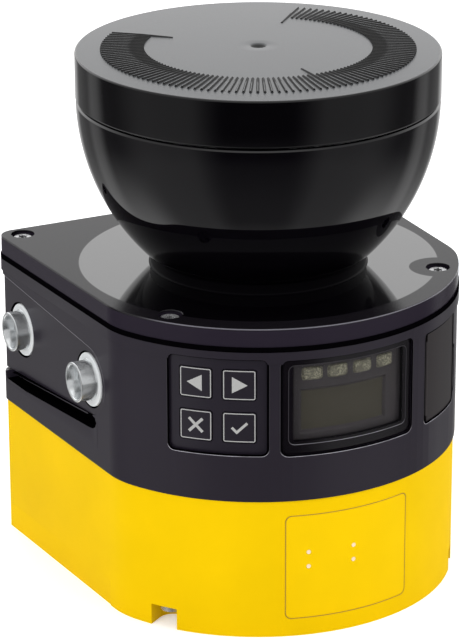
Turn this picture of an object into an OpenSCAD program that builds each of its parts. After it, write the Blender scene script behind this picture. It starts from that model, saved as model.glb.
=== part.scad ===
// Safety laser scanner: a yellow base, a black housing, a moulded optics cover and a head cap.
// Millimetres, +Z up. The scan axis is the Z axis, the front faces -Y, the part stands on Z = 0.

/* [Overall size] */
// Width across the rear corners of the housing rim
body_w = 111.6; // [110:0.2:113]
// Radius of the front of the housing rim about the scan axis
front_r = 55.8; // [55:0.1:56.5]
// Distance of the rear face behind the scan axis
rear_y = 55.1; // [54:0.1:56]
// Radius of the two rear corners in plan
corner_r = 5; // [4.5:0.25:6.5]
// Angle by which each side runs in towards the front
side_taper = 2.5; // [1:0.25:3.5]
// Radius that blends each side into the front arc
blend_r = 25; // [20:1:30]

/* [Heights] */
// Top of the yellow base
base_top = 40; // [39:0.5:41]
// Lower edge of the housing rim
rim_low = 79.4; // [78:0.2:80]
// Top of the housing rim
rim_top = 83.6; // [83:0.2:84.4]
// Flat top of the optics cover's flange
flange_top = 89.4; // [88.8:0.2:90]
// Top edge of the optics cover's bowl
bowl_top = 136.4; // [135:0.2:137]
// Edge of the head cap's top face
cap_edge_z = 149.8; // [149:0.2:150.4]
// Rise of the head cap's crown above its edge
crown_rise = 1; // [0.6:0.1:1.4]

/* [Optics cover] */
// Radius of the bowl at its top edge
bowl_r = 49.8; // [49:0.1:50.4]
// Radius of the arc that forms the bowl's side
bowl_arc = 61; // [58:1:66]
// Radius of the neck that joins bowl and flange
neck_r = 29.8; // [29:0.2:31]
// Wall thickness of the bowl
bowl_wall = 2.5; // [2:0.1:3]
// Radius of the counterbores over the cover screws
cover_bore_r = 3.35; // [3:0.05:3.6]

/* [Field scale] */
// Number of radial grooves on the head cap
scale_marks = 111; // [56:5:111]
// Angle that the scale covers, centred on the front
scale_span = 275; // [270:5:280]
// Width of one groove
mark_w = 0.7; // [0.5:0.05:0.8]

/* [Controls] */
// Travel of a key
key_travel = 0.4; // [0.2:0.05:0.5]
// Angle of the display's centre from the front
display_angle = 0; // [-1:0.5:1]
// Angle of the keypad's centre from the front
keypad_angle = -38.8; // [-40:0.2:-38]
// Angle of the port cover's centre from the front
port_angle = 37.6; // [37:0.2:38]

/* [Bushings] */
// Height of the side bushings' axes
bush_z = 63.6; // [62:0.2:65]
// Distance of the front bushings' axes from the scan axis, along Y
bush_front_y = -1.6; // [-3:0.2:0]
// Spacing of the two bushings on a side
bush_pitch = 44; // [43:0.5:45]
// Radius of the tapped M5 bore
tap_r = 2.1; // [2:0.05:2.2]

/* [Hidden] */

$fn = 64;
eps = 0.01;

black = "#2b282d";
pcb_green = "#24593a";
steel = "#b9bcbe";

// Plan outline: front arc, blends, tapered sides and round rear corners share their centres.
corner_c = [body_w / 2 - corner_r, rear_y - corner_r];
side_n = [cos(side_taper), -sin(side_taper)];
side_u = [sin(side_taper), cos(side_taper)];
side_d = corner_c * side_n + corner_r;
blend_s = -sqrt(pow(front_r - blend_r, 2) - pow(side_d - blend_r, 2));
blend_c = (side_d - blend_r) * side_n + blend_s * side_u;
blend_a = atan2(blend_c.y, blend_c.x);

// Insets of the other outlines from the rim
cover_in = 0.25;
body_in = 0.4;
base_in = 0.85;
plinth_in = 0.6;
plinth_z = 7.6;
wall = 3;
side_inner = 46;
body_r = front_r - body_in;
base_r = front_r - base_in;

// Screw axes: the front pair on a circle, the rear pair in the corners
screw_r = 49.9;
screw_a = 55.3;
rear_screw = [49.3, 50.1];
rear_base_screw = [47.6, 47.8];
front_screw = [screw_r * sin(screw_a), -screw_r * cos(screw_a)];
post_r = 4.6;

// Side panels and the slot below each
bush_face_x = 53.5;
bush_end_x = 57.4;
bush_flange_r = 7.7;
panel_nose_r = 9.8;
panel_rear_half = 14.8;
panel_x = 53.9;
panel_taper = 1.2;
panel_slope = asin((panel_rear_half - panel_nose_r) / (rear_y - bush_front_y));
slot_low_z = 46.6;
slot_floor_x = 49.6;

// Keypad
key_w = 8.9;
key_h = 8.5;
key_step_a = 12.4;
key_top_z = 73.2;
key_low_z = 61.1;
pad_w = 27;
pad_h = 27.2;
pad_z = (key_top_z + key_low_z) / 2;
pad_face_r = body_r - 0.7;
pad_back_r = pad_face_r - 1.3;
key_gap = 0.25;
key_skirt = 1.2;
dome_h = 0.8;
pad_board_r = pad_back_r - key_skirt - key_travel - dome_h - 0.4;
pad_board_w = 19.6;
pad_board_shift = 0.8;

// Display
display_w = 39.6;
display_h = 27.2;
display_z = 66.8;
window_face_r = body_r - 0.5;
window_t = 1.3;
gasket_t = 0.4;
display_hole_w = 35;
display_hole_h = 22.6;
board_t = 1.6;
display_board_y = -45.8;
display_board_w = 38.4;

// Port cover and the well behind it
cover_z0 = 53.4;
cover_z1 = 80.3 - 1.4;
cover_half_a = 10.1;
cover_face_r = body_r - 0.1;
cover_t = 1.8;
cover_gap = 0.35;
cover_w = 2 * body_r * sin(cover_half_a);
cover_h = cover_z1 - cover_z0;
cover_mid_z = (cover_z0 + cover_z1) / 2;
hinge_r = cover_face_r - 0.25;
hinge_in = 0.75;
hinge_a = port_angle - asin((cover_w / 2 + cover_gap - hinge_in) / hinge_r);
barrel_r = 0.6;
barrel_in = 2;
tab_reach = 2.1;
tab_h = 12.6;
tab_z = 62.2;
well_w = 12;
well_h = 16;
well_z = 64.4;
well_floor_r = 47.8;
port_cx = 4.2;
port_cz = 8.6;

// Rear plug
plug_w = 68;
plug_z0 = 4;
plug_z1 = 30;
plug_face_y = 45.6;
plug_x = [-19.5, 0, 19.5];
plug_zc = 15.5;
plug_flange = 2.6;
plug_seal_t = 0.8;
ledge_y = plug_face_y - plug_flange - plug_seal_t;
ledge_hole_w = 54;
ledge_rim = 1.2;
collar_end_y = 53.6;

// Optics and rotor
plate_z0 = 74;
plate_z1 = 77;
head_z0 = 131.5;
head_z1 = 134.5;
pillar_r0 = 22;
pillar_r1 = 24.8;
scan_z = 107;
mirror_r = 17;
bell_z0 = 121;
bell_z1 = 129.6;
bearing_r = 5.5;
shaft_r = 1.96;
tube_r = 7.8;
flex_w = 8;
flex_y = 23.9;
flex_t = 0.3;

// Front arc, blend and corner of the right half, then the same points mirrored
function arc_points(c, r, a0, a1, n, first) =
    [for (i = [first:n]) c + r * [cos(a0 + (a1 - a0) * i / n), sin(a0 + (a1 - a0) * i / n)]];
function right_half(o) = concat(
    arc_points([0, 0], front_r - o, -90, blend_a, 22, 0),
    arc_points(blend_c, blend_r - o, blend_a, -side_taper, 8, 1),
    arc_points(corner_c, corner_r - o, -side_taper, 90, 8, 1));
function mirrored(p) = [for (i = [len(p) - 1:-1:1]) [-p[i].x, p[i].y]];
function plan_points(o) = concat(right_half(o), mirrored(right_half(o)));

module plan(o) {
    polygon(plan_points(o));
}

// A slab of the plan outline, set in by o, between two heights
module slab(o, z0, z1) {
    translate([0, 0, z0])
        linear_extrude(z1 - z0)
            plan(o);
}

// Everything within a distance x of the middle plane
module middle_band(x) {
    translate([-x, -100, -1])
        cube([2 * x, 200, 160]);
}

module round_rect(w, h, r) {
    square([w - 2 * r, h], center = true);
    square([w, h - 2 * r], center = true);
    for (sx = [-1, 1], sy = [-1, 1])
        translate([sx * (w / 2 - r), sy * (h / 2 - r)])
            circle(r);
}

// Carries its children to the front arc: local X runs round it, local Y up, local Z outwards
module on_front(angle, z, r) {
    rotate([0, 0, angle])
        translate([0, -r, z])
            rotate([90, 0, 0])
                children();
}

// A rounded prism that points outwards, from radius r0 to r1
module front_prism(angle, z, w, h, r, r0, r1) {
    on_front(angle, z, r0)
        linear_extrude(r1 - r0)
            round_rect(w, h, r);
}

// The part of a front prism that lies between two radii about the scan axis
module curved_tile(angle, z, w, h, r, r0, r1) {
    intersection() {
        front_prism(angle, z, w, h, r, r0 - 8, r1 + 2);
        ring(r1, r0, z - h, z + h);
    }
}

module ring(r_out, r_in, z0, z1) {
    translate([0, 0, z0])
        difference() {
            cylinder(r = r_out, h = z1 - z0, $fn = 128);
            translate([0, 0, -1])
                cylinder(r = r_in, h = z1 - z0 + 2, $fn = 128);
        }
}

module rod(p, r, z0, z1) {
    translate([p.x, p.y, z0])
        cylinder(r = r, h = z1 - z0, $fn = 40);
}

module both_sides() {
    children();
    mirror([1, 0, 0])
        children();
}

module at_cover_screws() {
    both_sides() {
        translate(front_screw)
            children();
        translate(rear_screw)
            children();
    }
}

module at_base_screws() {
    both_sides() {
        translate(front_screw)
            children();
        translate(rear_base_screw)
            children();
    }
}

// Local Z points out of the right side at the axes of the two side bushings
module at_side_bushings(x) {
    for (y = [bush_front_y, bush_front_y + bush_pitch])
        translate([x, y, bush_z])
            rotate([0, 90, 0])
                children();
}

// Local Z points out of the rear face at the four rear bushings
rear_bush_x = 36;
rear_bush_z = [48, 66];
module at_rear_bushings(y) {
    for (x = [-rear_bush_x, rear_bush_x], z = rear_bush_z)
        translate([x, y, z])
            rotate([-90, 0, 0])
                children();
}

// ---- Optics cover: bowl, neck and flange moulded as one piece ----

bowl_c = [bowl_r - bowl_arc, bowl_top + 1];

module bowl_area(o, z0, z1) {
    intersection() {
        translate(bowl_c)
            circle(bowl_arc - o, $fn = 180);
        translate([0, z0])
            square([60, z1 - z0]);
    }
}

module neck_fillet(r) {
    translate([neck_r - eps, flange_top])
        difference() {
            square(r);
            translate([r, r])
                circle(r, $fn = 48);
        }
}

neck_top = bowl_c.y - sqrt(pow(bowl_arc, 2) - pow(neck_r - bowl_c.x, 2));
neck_bore = neck_r - bowl_wall - 0.3;

module bowl_wall_area() {
    difference() {
        union() {
            bowl_area(0, neck_top, bowl_top);
            translate([0, flange_top])
                square([neck_r, neck_top - flange_top + 0.02]);
            neck_fillet(1.6);
        }
        bowl_area(bowl_wall, neck_top - 2, bowl_top + 1);
        translate([0, rim_top - 1])
            square([neck_bore, 12]);
        polygon([[bowl_r + 0.1, bowl_top - 1.1], [bowl_r - 0.55, bowl_top + 0.1], [bowl_r + 1, bowl_top + 0.1]]);
    }
}

// The bowl of the optics cover, down to the top of its flange
module optics_cover() {
    color("#1c191d")
        rotate_extrude($fn = 180)
            bowl_wall_area();
}

// The flange of the optics cover, the same moulding below the bowl
module cover_flange() {
    color("#1c191d")
        difference() {
            slab(cover_in, rim_top, flange_top);
            rod([0, 0], neck_bore, rim_top - 1, flange_top + 1);
            // visible gap above the rim
            difference() {
                slab(-1, rim_top - 1, rim_top + 0.5);
                slab(1.4, rim_top - 2, rim_top + 1);
            }
            // lightened underside, open to the housing
            difference() {
                intersection() {
                    slab(4.4, rim_top - 1, flange_top - 2.4);
                    middle_band(side_inner);
                }
                at_cover_screws()
                    cylinder(r = 5.4, h = 200);
            }
            at_cover_screws() {
                translate([0, 0, flange_top - 2.9])
                    cylinder(r = cover_bore_r, h = 10);
                cylinder(r = 1.9, h = 200, $fn = 32);
            }
        }
}

module cover_seal() {
    color("#111111")
        difference() {
            slab(1.9, rim_top - 0.9, rim_top);
            slab(2.9, rim_top - 2, rim_top + 1);
        }
}

module cover_screws() {
    color(steel)
        at_cover_screws()
            translate([0, 0, flange_top - 2.9])
                difference() {
                    union() {
                        cylinder(r1 = 2.4, r2 = 2.95, h = 0.5);
                        translate([0, 0, 0.5])
                            cylinder(r = 2.95, h = 1.1);
                        translate([0, 0, 1.6])
                            cylinder(r1 = 2.95, r2 = 2.4, h = 0.5);
                        translate([0, 0, -14])
                            cylinder(r = 1.5, h = 14.2, $fn = 32);
                    }
                    translate([0, 0, 1])
                        linear_extrude(2)
                            six_lobe(1.35);
                }
}

// A six-lobe drive recess
module six_lobe(r) {
    circle(r * 0.72, $fn = 24);
    for (a = [0:60:300])
        rotate(a)
            translate([r * 0.72, 0])
                circle(r * 0.28, $fn = 16);
}

// ---- Head cap with the engraved field scale ----

cap_r = 49.9;
cap_low = bowl_top + 0.45;
cap_fillet = 0.9;
crown_edge_r = cap_r - cap_fillet;
mark_out_r = 42.9;
mark_in_r = 31;
long_mark_in_r = 25;
mark_floor = cap_edge_z - 0.5;

// Height of the domed crown above the cap's edge
function crown_height(r) = crown_rise * (1 - pow(r / crown_edge_r, 2));

module cap_outer_area() {
    translate([0, cap_low + 0.7])
        square([cap_r, cap_edge_z - cap_fillet - cap_low - 0.7]);
    translate([0, cap_low])
        square([cap_r - 0.7, 5]);
    translate([cap_r - 0.7, cap_low + 0.7])
        circle(0.7, $fn = 32);
    intersection() {
        translate([crown_edge_r, cap_edge_z - cap_fillet])
            circle(cap_fillet, $fn = 32);
        translate([crown_edge_r - 0.3, cap_edge_z - cap_fillet])
            square(3);
    }
    polygon(concat([[0, cap_low + 3]], [[crown_edge_r, cap_low + 3]],
        [for (i = [0:10]) let(r = crown_edge_r * (1 - i / 10)) [r, cap_edge_z + crown_height(r)]]));
}

module cap_section() {
    difference() {
        union() {
            cap_outer_area();
            translate([bowl_r - bowl_wall - 2.4, bowl_top - 3])
                square([2.2, 5]);
            translate([bowl_r - bowl_wall - 2.4, bowl_top])
                square([3.8, 2]);
        }
        translate([-1, 0])
            square([bowl_r - bowl_wall - 2.4 + 1, cap_edge_z - 3]);
        polygon([[-1, cap_edge_z + 5], [-1, cap_edge_z - 0.6], [0.3, cap_edge_z - 0.6],
            [2.5, cap_edge_z + crown_rise + 0.01], [2.5, cap_edge_z + 5]]);
    }
}

module scale_mark(r_in) {
    h = mark_w / 2;
    polygon([[-h, -mark_out_r], [-h / 2, -mark_out_r - h], [h / 2, -mark_out_r - h],
        [h, -mark_out_r], [h, -r_in], [h / 2, -r_in + h], [-h / 2, -r_in + h], [-h, -r_in]]);
}

module field_scale() {
    for (i = [0:scale_marks - 1])
        rotate(-scale_span / 2 + scale_span * i / (scale_marks - 1))
            scale_mark(i % ((scale_marks - 1) / 2) == 0 ? long_mark_in_r : mark_in_r);
}

module head_cap() {
    color("#8f9094")
        difference() {
            rotate_extrude($fn = 180)
                cap_section();
            translate([0, 0, mark_floor])
                linear_extrude(5)
                    field_scale();
        }
}

// ---- Housing ----

module panel_outline() {
    s = panel_slope;
    t = [bush_front_y - panel_nose_r * sin(s), panel_nose_r * cos(s)];
    far_half = t.y + (70 - t.x) * tan(s);
    translate([0, bush_z])
        polygon([[t.x, t.y], [70, far_half], [70, -far_half], [t.x, -t.y]]);
    translate([bush_front_y, bush_z])
        circle(panel_nose_r);
}

module slot_outline() {
    nose = [bush_front_y - 1.4, slot_low_z + 4];
    edge = bush_z - panel_nose_r;
    polygon([[nose.x, slot_low_z + 0.5], [20, slot_low_z], [70, slot_low_z],
        [70, bush_z - panel_rear_half - 1.2], [nose.x - 2.4, edge - 0.1], [nose.x - 3.4, nose.y]]);
    translate(nose)
        circle(3.5, $fn = 32);
}

// Recesses in the right side, mirrored to the left
module side_cuts() {
    translate([panel_x, rear_y, 0])
        rotate([90, 0, 90 - panel_taper])
            translate([-rear_y, 0, 0])
                linear_extrude(12)
                    panel_outline();
    // slot below the panel
    translate([slot_floor_x, 0, 0])
        rotate([90, 0, 90])
            linear_extrude(12)
                slot_outline();
    at_side_bushings(0) {
        translate([0, 0, bush_face_x - 1.3])
            cylinder(r = bush_flange_r + 0.35, h = 12);
        translate([0, 0, side_inner + 0.8])
            cylinder(r = 5, h = 20);
    }
}

module housing_walls() {
    difference() {
        union() {
            slab(body_in, base_top, rim_low + 0.4);
            slab(0, rim_low, rim_top);
        }
        intersection() {
            slab(body_in + wall, base_top - 1, rim_top - 1.5);
            middle_band(side_inner);
        }
        intersection() {
            slab(4.4, rim_top - 2, rim_top + 1);
            middle_band(side_inner);
        }
    }
    // cover and base screws share four full-height posts
    at_cover_screws()
        translate([0, 0, base_top])
            cylinder(r = post_r, h = rim_top - base_top);
    both_sides()
        rod(rear_base_screw, post_r, base_top, 60);
    // ledges that carry the optics frame
    at_frame_lugs()
        translate([0, 0, frame_lug_z])
            cylinder(r = 4.2, h = plate_z0 - frame_lug_z);
    frame_ledge_ribs();
    // ribs that carry the display board
    both_sides()
        translate([display_board_w / 2 - 1.6, -49.8, 56])
            cube([1.6, display_board_y + 49.8, 21.4]);
    // bosses for the rear bushings
    at_rear_bushings(rear_y - 12.5)
        cylinder(r = 6.4, h = 10);
}

frame_lug_front = [41.6, -20.6];
frame_lug_z = 58;
frame_lug_rear = [41.6, 43.6];

module at_frame_lugs() {
    both_sides() {
        translate(frame_lug_front)
            children();
        translate(frame_lug_rear)
            children();
    }
}

module frame_ledge_ribs() {
    at_frame_lugs()
        translate([0, -1.5, frame_lug_z])
            cube([8, 3, plate_z0 - frame_lug_z - 1]);
}

module port_well_body() {
    front_prism(port_angle, well_z, well_w + 2.8, well_h + 2.8, 1.6, well_floor_r - 1.6, body_r - 1.2);
}

module port_cuts() {
    // seat of the cover and its grip tab
    intersection() {
        union() {
            front_prism(port_angle, cover_mid_z, cover_w + 2 * cover_gap, cover_h + 2 * cover_gap,
                1.2, 40, 70);
            grip_tab(0.7);
        }
        ring(80, cover_face_r - cover_t - 0.4, cover_z0 - 2, cover_z1 + 2);
    }
    // round seat of the hinge barrel
    rotate([0, 0, hinge_a])
        translate([0, -hinge_r, cover_z0 + barrel_in - 0.3])
            cylinder(r = barrel_r + 0.3, h = cover_h - 2 * barrel_in + 0.6, $fn = 32);
    // well behind the cover and the mouth of the socket in its floor
    front_prism(port_angle, well_z, well_w, well_h, 0.9, well_floor_r, 70);
    front_prism(port_angle, well_z, port_cx + 2.2, port_cz + 2.2, 0.9, 40, 60);
}

// The tab stands out beyond the cover's free edge, grown all round by g
module grip_tab(g) {
    on_front(port_angle, tab_z, 40)
        translate([cover_w / 2 - 2, 0, 0])
            linear_extrude(30)
                translate([(tab_reach + g) / 2, 0])
                    round_rect(4 + tab_reach + g, tab_h + 2 * g, 1.2);
}

module keypad_cuts() {
    intersection() {
        front_prism(keypad_angle, pad_z, pad_w, pad_h, 1.6, 40, 70);
        ring(80, pad_back_r, pad_z - 20, pad_z + 20);
    }
    front_prism(keypad_angle, pad_z, pad_w - 2.2, pad_h - 2.2, 1.2, 42, 70);
}

module display_cuts() {
    intersection() {
        front_prism(display_angle, display_z, display_w, display_h, 1.6, 40, 70);
        ring(80, window_face_r - window_t - gasket_t, display_z - 20, display_z + 20);
    }
    front_prism(display_angle, display_z, display_hole_w, display_hole_h, 1.2, 42, 70);
}

module housing() {
    color(black)
        difference() {
            union() {
                housing_walls();
                intersection() {
                    port_well_body();
                    slab(body_in + 0.5, base_top, rim_low);
                }
            }
            both_sides()
                side_cuts();
            port_cuts();
            keypad_cuts();
            display_cuts();
            at_cover_screws()
                translate([0, 0, rim_top - 13])
                    cylinder(r = 1.55, h = 20, $fn = 32);
            at_base_screws()
                translate([0, 0, base_top - 1])
                    cylinder(r = 2.05, h = 14, $fn = 32);
            at_frame_lugs()
                translate([0, 0, plate_z0 - 8])
                    cylinder(r = 1.3, h = 10, $fn = 32);
            at_rear_bushings(rear_y - 10)
                cylinder(r = 4.2, h = 12);
            at_rear_bushings(rear_y - body_in - 1.2)
                cylinder(r = 6, h = 12);
            // groove for the cover seal
            difference() {
                slab(1.9, rim_top - 0.9, rim_top + 1);
                slab(2.9, rim_top - 2, rim_top + 2);
            }
        }
}

module housing_seal() {
    color("#111111")
        difference() {
            slab(base_in + 1.1, base_top - 1, base_top);
            slab(base_in + 2.1, base_top - 2, base_top + 1);
        }
}

// ---- Base ----

notch_w = 7.9;
notch_top = 6.1;
seat_top = 6.5;
base_floor = 3;

module base_shell() {
    difference() {
        slab(base_in, 0, base_top);
        intersection() {
            slab(base_in + wall, base_floor, base_top + 1);
            middle_band(side_inner + 4);
        }
        // the sides step in just above the floor
        both_sides()
            translate([side_d - base_in - plinth_in - 0.15, -12, -1])
                rotate([0, 0, -side_taper])
                    cube([10, 80, plinth_z + 1]);
    }
}

module label_area(r0, r1, grow) {
    intersection() {
        front_prism(0, 20.3, 2 * base_r * sin(19.6) + grow, 30.1 + grow, 1.7, 40, 70);
        ring(r1, r0, 2, 38);
    }
}

module at_status_leds() {
    for (a = [-13, 0.7], z = [24.5, 20.3])
        on_front(a, z, 0)
            children();
}

module base_housing() {
    color("#f8d000")
        difference() {
            union() {
                base_shell();
                intersection() {
                    at_base_screws()
                        cylinder(r = post_r + 1.2, h = base_top);
                    slab(base_in, 0, base_top);
                }
                // sleeve round the rear plug
                translate([-plug_w / 2 - 2, ledge_y - 5.5, base_floor - 1])
                    cube([plug_w + 4, 60 - 47, plug_z1 + 3 - base_floor]);
                at_board_posts()
                    cylinder(r = 3.2, h = main_board_z);
                at_power_posts()
                    cylinder(r = 3.2, h = power_board_z);
            }
            at_base_screws() {
                translate([0, 0, -1])
                    cylinder(r = 3.9, h = seat_top + 1);
                cylinder(r = 2.05, h = 60, $fn = 32);
            }
            // the front counterbores are open to the outside
            for (a = [-screw_a, screw_a])
                rotate([0, 0, a])
                    translate([-notch_w / 2, -60, -1])
                        cube([notch_w, 60 - screw_r, notch_top + 1]);
            // opening of the rear plug, stepped to leave a ledge
            translate([-plug_w / 2, ledge_y, plug_z0])
                cube([plug_w, 30, plug_z1 - plug_z0]);
            translate([-ledge_hole_w / 2, ledge_y - 10, plug_z0 + ledge_rim])
                cube([ledge_hole_w, 20, plug_z1 - plug_z0 - 2 * ledge_rim]);
            at_plug_screws()
                cylinder_from(2.5, 20, 1.5);
            label_area(base_r - 0.3, 80, 0.35);
            at_status_leds()
                cylinder(r = 0.65, h = 70, $fn = 24);
            difference() {
                slab(base_in + 1.1, base_top - 1, base_top + 1);
                slab(base_in + 2.1, base_top - 2, base_top + 2);
            }
        }
}

module base_screws() {
    color(steel)
        at_base_screws()
            difference() {
                union() {
                    translate([0, 0, seat_top - 2.6])
                        cylinder(r = 3.4, h = 2.6);
                    cylinder_from(seat_top - 0.1, base_top + 12, 1.95);
                }
                translate([0, 0, seat_top - 4])
                    linear_extrude(2.8)
                        six_lobe(1.9);
            }
}

module cylinder_from(z0, z1, r) {
    translate([0, 0, z0])
        cylinder(r = r, h = z1 - z0, $fn = 32);
}

// ---- Bushings ----

module side_bushings() {
    collar_r = 5.6;
    color(steel)
        both_sides()
            at_side_bushings(0)
                difference() {
                    union() {
                        cylinder_from(side_inner + 0.8, bush_face_x - 0.6, 5);
                        translate([0, 0, bush_face_x - 1.3])
                            cylinder(r = bush_flange_r, h = 1.3);
                        translate([0, 0, bush_face_x - 0.5])
                            cylinder(r = collar_r, h = bush_end_x - bush_face_x + 0.1);
                        translate([0, 0, bush_end_x - 0.4])
                            cylinder(r1 = collar_r, r2 = collar_r - 0.4, h = 0.4);
                    }
                    cylinder_from(side_inner, bush_end_x + 1, tap_r);
                    translate([0, 0, bush_face_x - 1.6])
                        cylinder(r = 4.3, h = 20);
                    translate([0, 0, bush_face_x - 2.6])
                        cylinder(r1 = tap_r, r2 = 3.2, h = 1.01);
                }
}

module rear_bushings() {
    color(steel)
        at_rear_bushings(0)
            difference() {
                union() {
                    cylinder_from(rear_y - 10, rear_y - body_in - 0.4, 4.2);
                    translate([0, 0, rear_y - body_in - 1.2])
                        cylinder(r = 6, h = 1.2);
                }
                cylinder_from(rear_y - 9, rear_y + 1, tap_r);
            }
}

// ---- Keypad ----

module key_body(a, z) {
    curved_tile(a, z, key_w, key_h, 0.7, pad_back_r - key_skirt, pad_face_r + 0.1);
    curved_tile(a, z, key_w + 1.3, key_h + 1.3, 0.9, pad_back_r - key_skirt, pad_back_r - 0.4);
}

key_left_a = keypad_angle - key_step_a / 2;
key_right_a = keypad_angle + key_step_a / 2;

module keypad_frame() {
    color("#252228")
        difference() {
            curved_tile(keypad_angle, pad_z, pad_w - 0.1, pad_h - 0.1, 1.55, pad_back_r, pad_face_r);
            for (a = [key_left_a, key_right_a], z = [key_low_z, key_top_z])
                front_prism(a, z, key_w + 2 * key_gap, key_h + 2 * key_gap, 0.9, 40, 70);
        }
}

module key_back() {
    color("#26232a")
        key_body(key_left_a, key_top_z);
}

module key_forward() {
    color("#26232a")
        key_body(key_right_a, key_top_z);
}

module key_cancel() {
    color("#26232a")
        key_body(key_left_a, key_low_z);
}

module key_confirm() {
    color("#26232a")
        key_body(key_right_a, key_low_z);
}

module keypad_board() {
    color(pcb_green)
        on_front(keypad_angle, pad_z, pad_board_r - board_t)
            translate([pad_board_shift, 0, 0])
                linear_extrude(board_t)
                    round_rect(pad_board_w, 23.4, 1);
    // one snap dome below each key
    color("silver")
        for (a = [key_left_a, key_right_a], z = [key_low_z, key_top_z])
            on_front(keypad_angle, z, pad_board_r - 0.1)
                translate([pad_board_r * sin(a - keypad_angle), 0, 0])
                    cylinder(r1 = 2.6, r2 = 1.6, h = dome_h, $fn = 32);
}

// ---- Display ----

module window_gasket() {
    color("#161417")
        difference() {
            curved_tile(display_angle, display_z, display_w, display_h, 1.6,
                window_face_r - window_t - gasket_t, window_face_r - window_t);
            front_prism(display_angle, display_z, display_hole_w, display_hole_h, 1.2, 40, 70);
        }
}

module display_window() {
    color("#30312f")
        curved_tile(display_angle, display_z, display_w - 0.3, display_h - 0.3, 1.5,
            window_face_r - window_t, window_face_r);
}

module display_module() {
    color("#5a5a50")
        translate([-14.2, display_board_y - 4.6, 56.4])
            cube([28.4, 4.6, 14.6]);
}

module led_guides() {
    color("#d8d3a8")
        for (i = [0:3])
            translate([-14 + 7.2 * i, display_board_y - 5, 72.3])
                cube([5.4, 5, 3.8]);
}

module display_board() {
    color(pcb_green)
        translate([-display_board_w / 2, display_board_y, 56])
            cube([display_board_w, board_t, 21.4]);
}

// ---- Service port ----

module port_cover() {
    color("#3b3337") {
        difference() {
            intersection() {
                union() {
                    front_prism(port_angle, cover_mid_z, cover_w, cover_h, 1, 40, 70);
                    grip_tab(0);
                }
                ring(cover_face_r, cover_face_r - cover_t, cover_z0 - 1, cover_z1 + 1);
            }
            // the hinge edge is cut back to the barrel
            rotate([0, 0, hinge_a])
                translate([-4, -hinge_r - 4, cover_z0 - 1])
                    cube([4.6, 8, cover_h + 2]);
        }
        rotate([0, 0, hinge_a])
            translate([0, -hinge_r, cover_z0 + barrel_in]) {
                cylinder(r = barrel_r, h = cover_h - 2 * barrel_in, $fn = 32);
                translate([0, -0.2, 0])
                    cube([1.4, 0.75, cover_h - 2 * barrel_in]);
            }
        // sealing plug that enters the well
        difference() {
            front_prism(port_angle + 0.6, well_z, well_w - 3, well_h - 2, 1.2,
                cover_face_r - cover_t - 1.6, cover_face_r - cover_t + 0.8);
            front_prism(port_angle + 0.6, well_z, well_w - 5, well_h - 4, 0.8, 40,
                cover_face_r - cover_t + 0.1);
        }
    }
}

module service_port() {
    color(steel)
        difference() {
            front_prism(port_angle, well_z, port_cx + 2, port_cz + 2, 0.8,
                well_floor_r - 7.5, well_floor_r + 0.8);
            front_prism(port_angle, well_z, port_cx + 0.6, port_cz + 0.6, 0.6,
                well_floor_r - 6, well_floor_r + 5);
        }
    color("#222222")
        front_prism(port_angle, well_z, 1.4, port_cz - 2.4, 0.3, well_floor_r - 6.2,
            well_floor_r - 0.6);
}

// ---- Status display of the base ----

module status_film() {
    color("#f6cd04")
        difference() {
            label_area(base_r - 0.3, base_r - 0.05, 0);
            at_status_leds()
                cylinder(r = 0.65, h = 70, $fn = 24);
        }
}

module status_guides() {
    color("#e8e4c8")
        at_status_leds()
            cylinder_from(49.4, base_r - 0.05, 0.6);
}

module status_board() {
    color(pcb_green)
        translate([-16, -48, 16])
            cube([21, 1.2, 13]);
}

// ---- Boards ----

main_board_z = 34;
power_board_z = 11;

module at_board_posts() {
    for (p = [[-34, 14], [34, 14], [-26, -34], [26, -34]])
        translate(p)
            children();
}

module at_power_posts() {
    for (p = [[-34, -18], [34, -18], [0, 14]])
        translate(p)
            children();
}

module main_board() {
    color(pcb_green)
        difference() {
            intersection() {
                slab(base_in + wall + 1.5, main_board_z, main_board_z + board_t);
                middle_band(side_inner - 1);
            }
            at_base_screws()
                cylinder(r = post_r + 2.2, h = 60);
        }
    // processor, memory and board connectors
    color("#1d1d1f") {
        translate([-10, -14, main_board_z + board_t])
            cube([20, 20, 2.2]);
        translate([16, -10, main_board_z + board_t])
            cube([12, 9, 1.4]);
        translate([-18, 24, main_board_z - 3.4])
            cube([36, 5, 3.4]);
    }
}

module power_board() {
    color(pcb_green)
        difference() {
            translate([-40, -30, power_board_z])
                cube([80, 60, board_t]);
            at_board_posts()
                cylinder(r = 3.8, h = 60);
            at_base_screws()
                cylinder(r = post_r + 1.8, h = 60);
        }
    color("#2f3136") {
        for (p = [[-24, -8], [-24, 8], [22, -4]])
            translate([p.x, p.y, power_board_z + board_t])
                cylinder(r = 5, h = 11, $fn = 40);
        translate([-6, -24, power_board_z + board_t])
            cube([14, 14, 7]);
    }
}

// ---- Rear plug with the three round connectors ----

module system_plug() {
    color("#26262a")
        difference() {
            union() {
                translate([-ledge_hole_w / 2 + 0.2, ledge_y - 8, plug_z0 + ledge_rim + 0.2])
                    cube([ledge_hole_w - 0.4, plug_face_y - ledge_y + 7.5,
                        plug_z1 - plug_z0 - 2 * ledge_rim - 0.4]);
                translate([-plug_w / 2 + 0.2, plug_face_y - plug_flange, plug_z0 + 0.2])
                    cube([plug_w - 0.4, plug_flange, plug_z1 - plug_z0 - 0.4]);
            }
            for (x = plug_x)
                translate([x, plug_face_y - 7.6, plug_zc])
                    rotate([-90, 0, 0])
                        cylinder(r = 6, h = 20);
            at_plug_screws()
                cylinder(r = 1.5, h = 30, $fn = 32);
        }
}

module at_plug_screws() {
    for (x = [-30.4, 30.4], z = [plug_z0 + 4, plug_z1 - 4])
        translate([x, plug_face_y - 10, z])
            rotate([-90, 0, 0])
                children();
}

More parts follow.
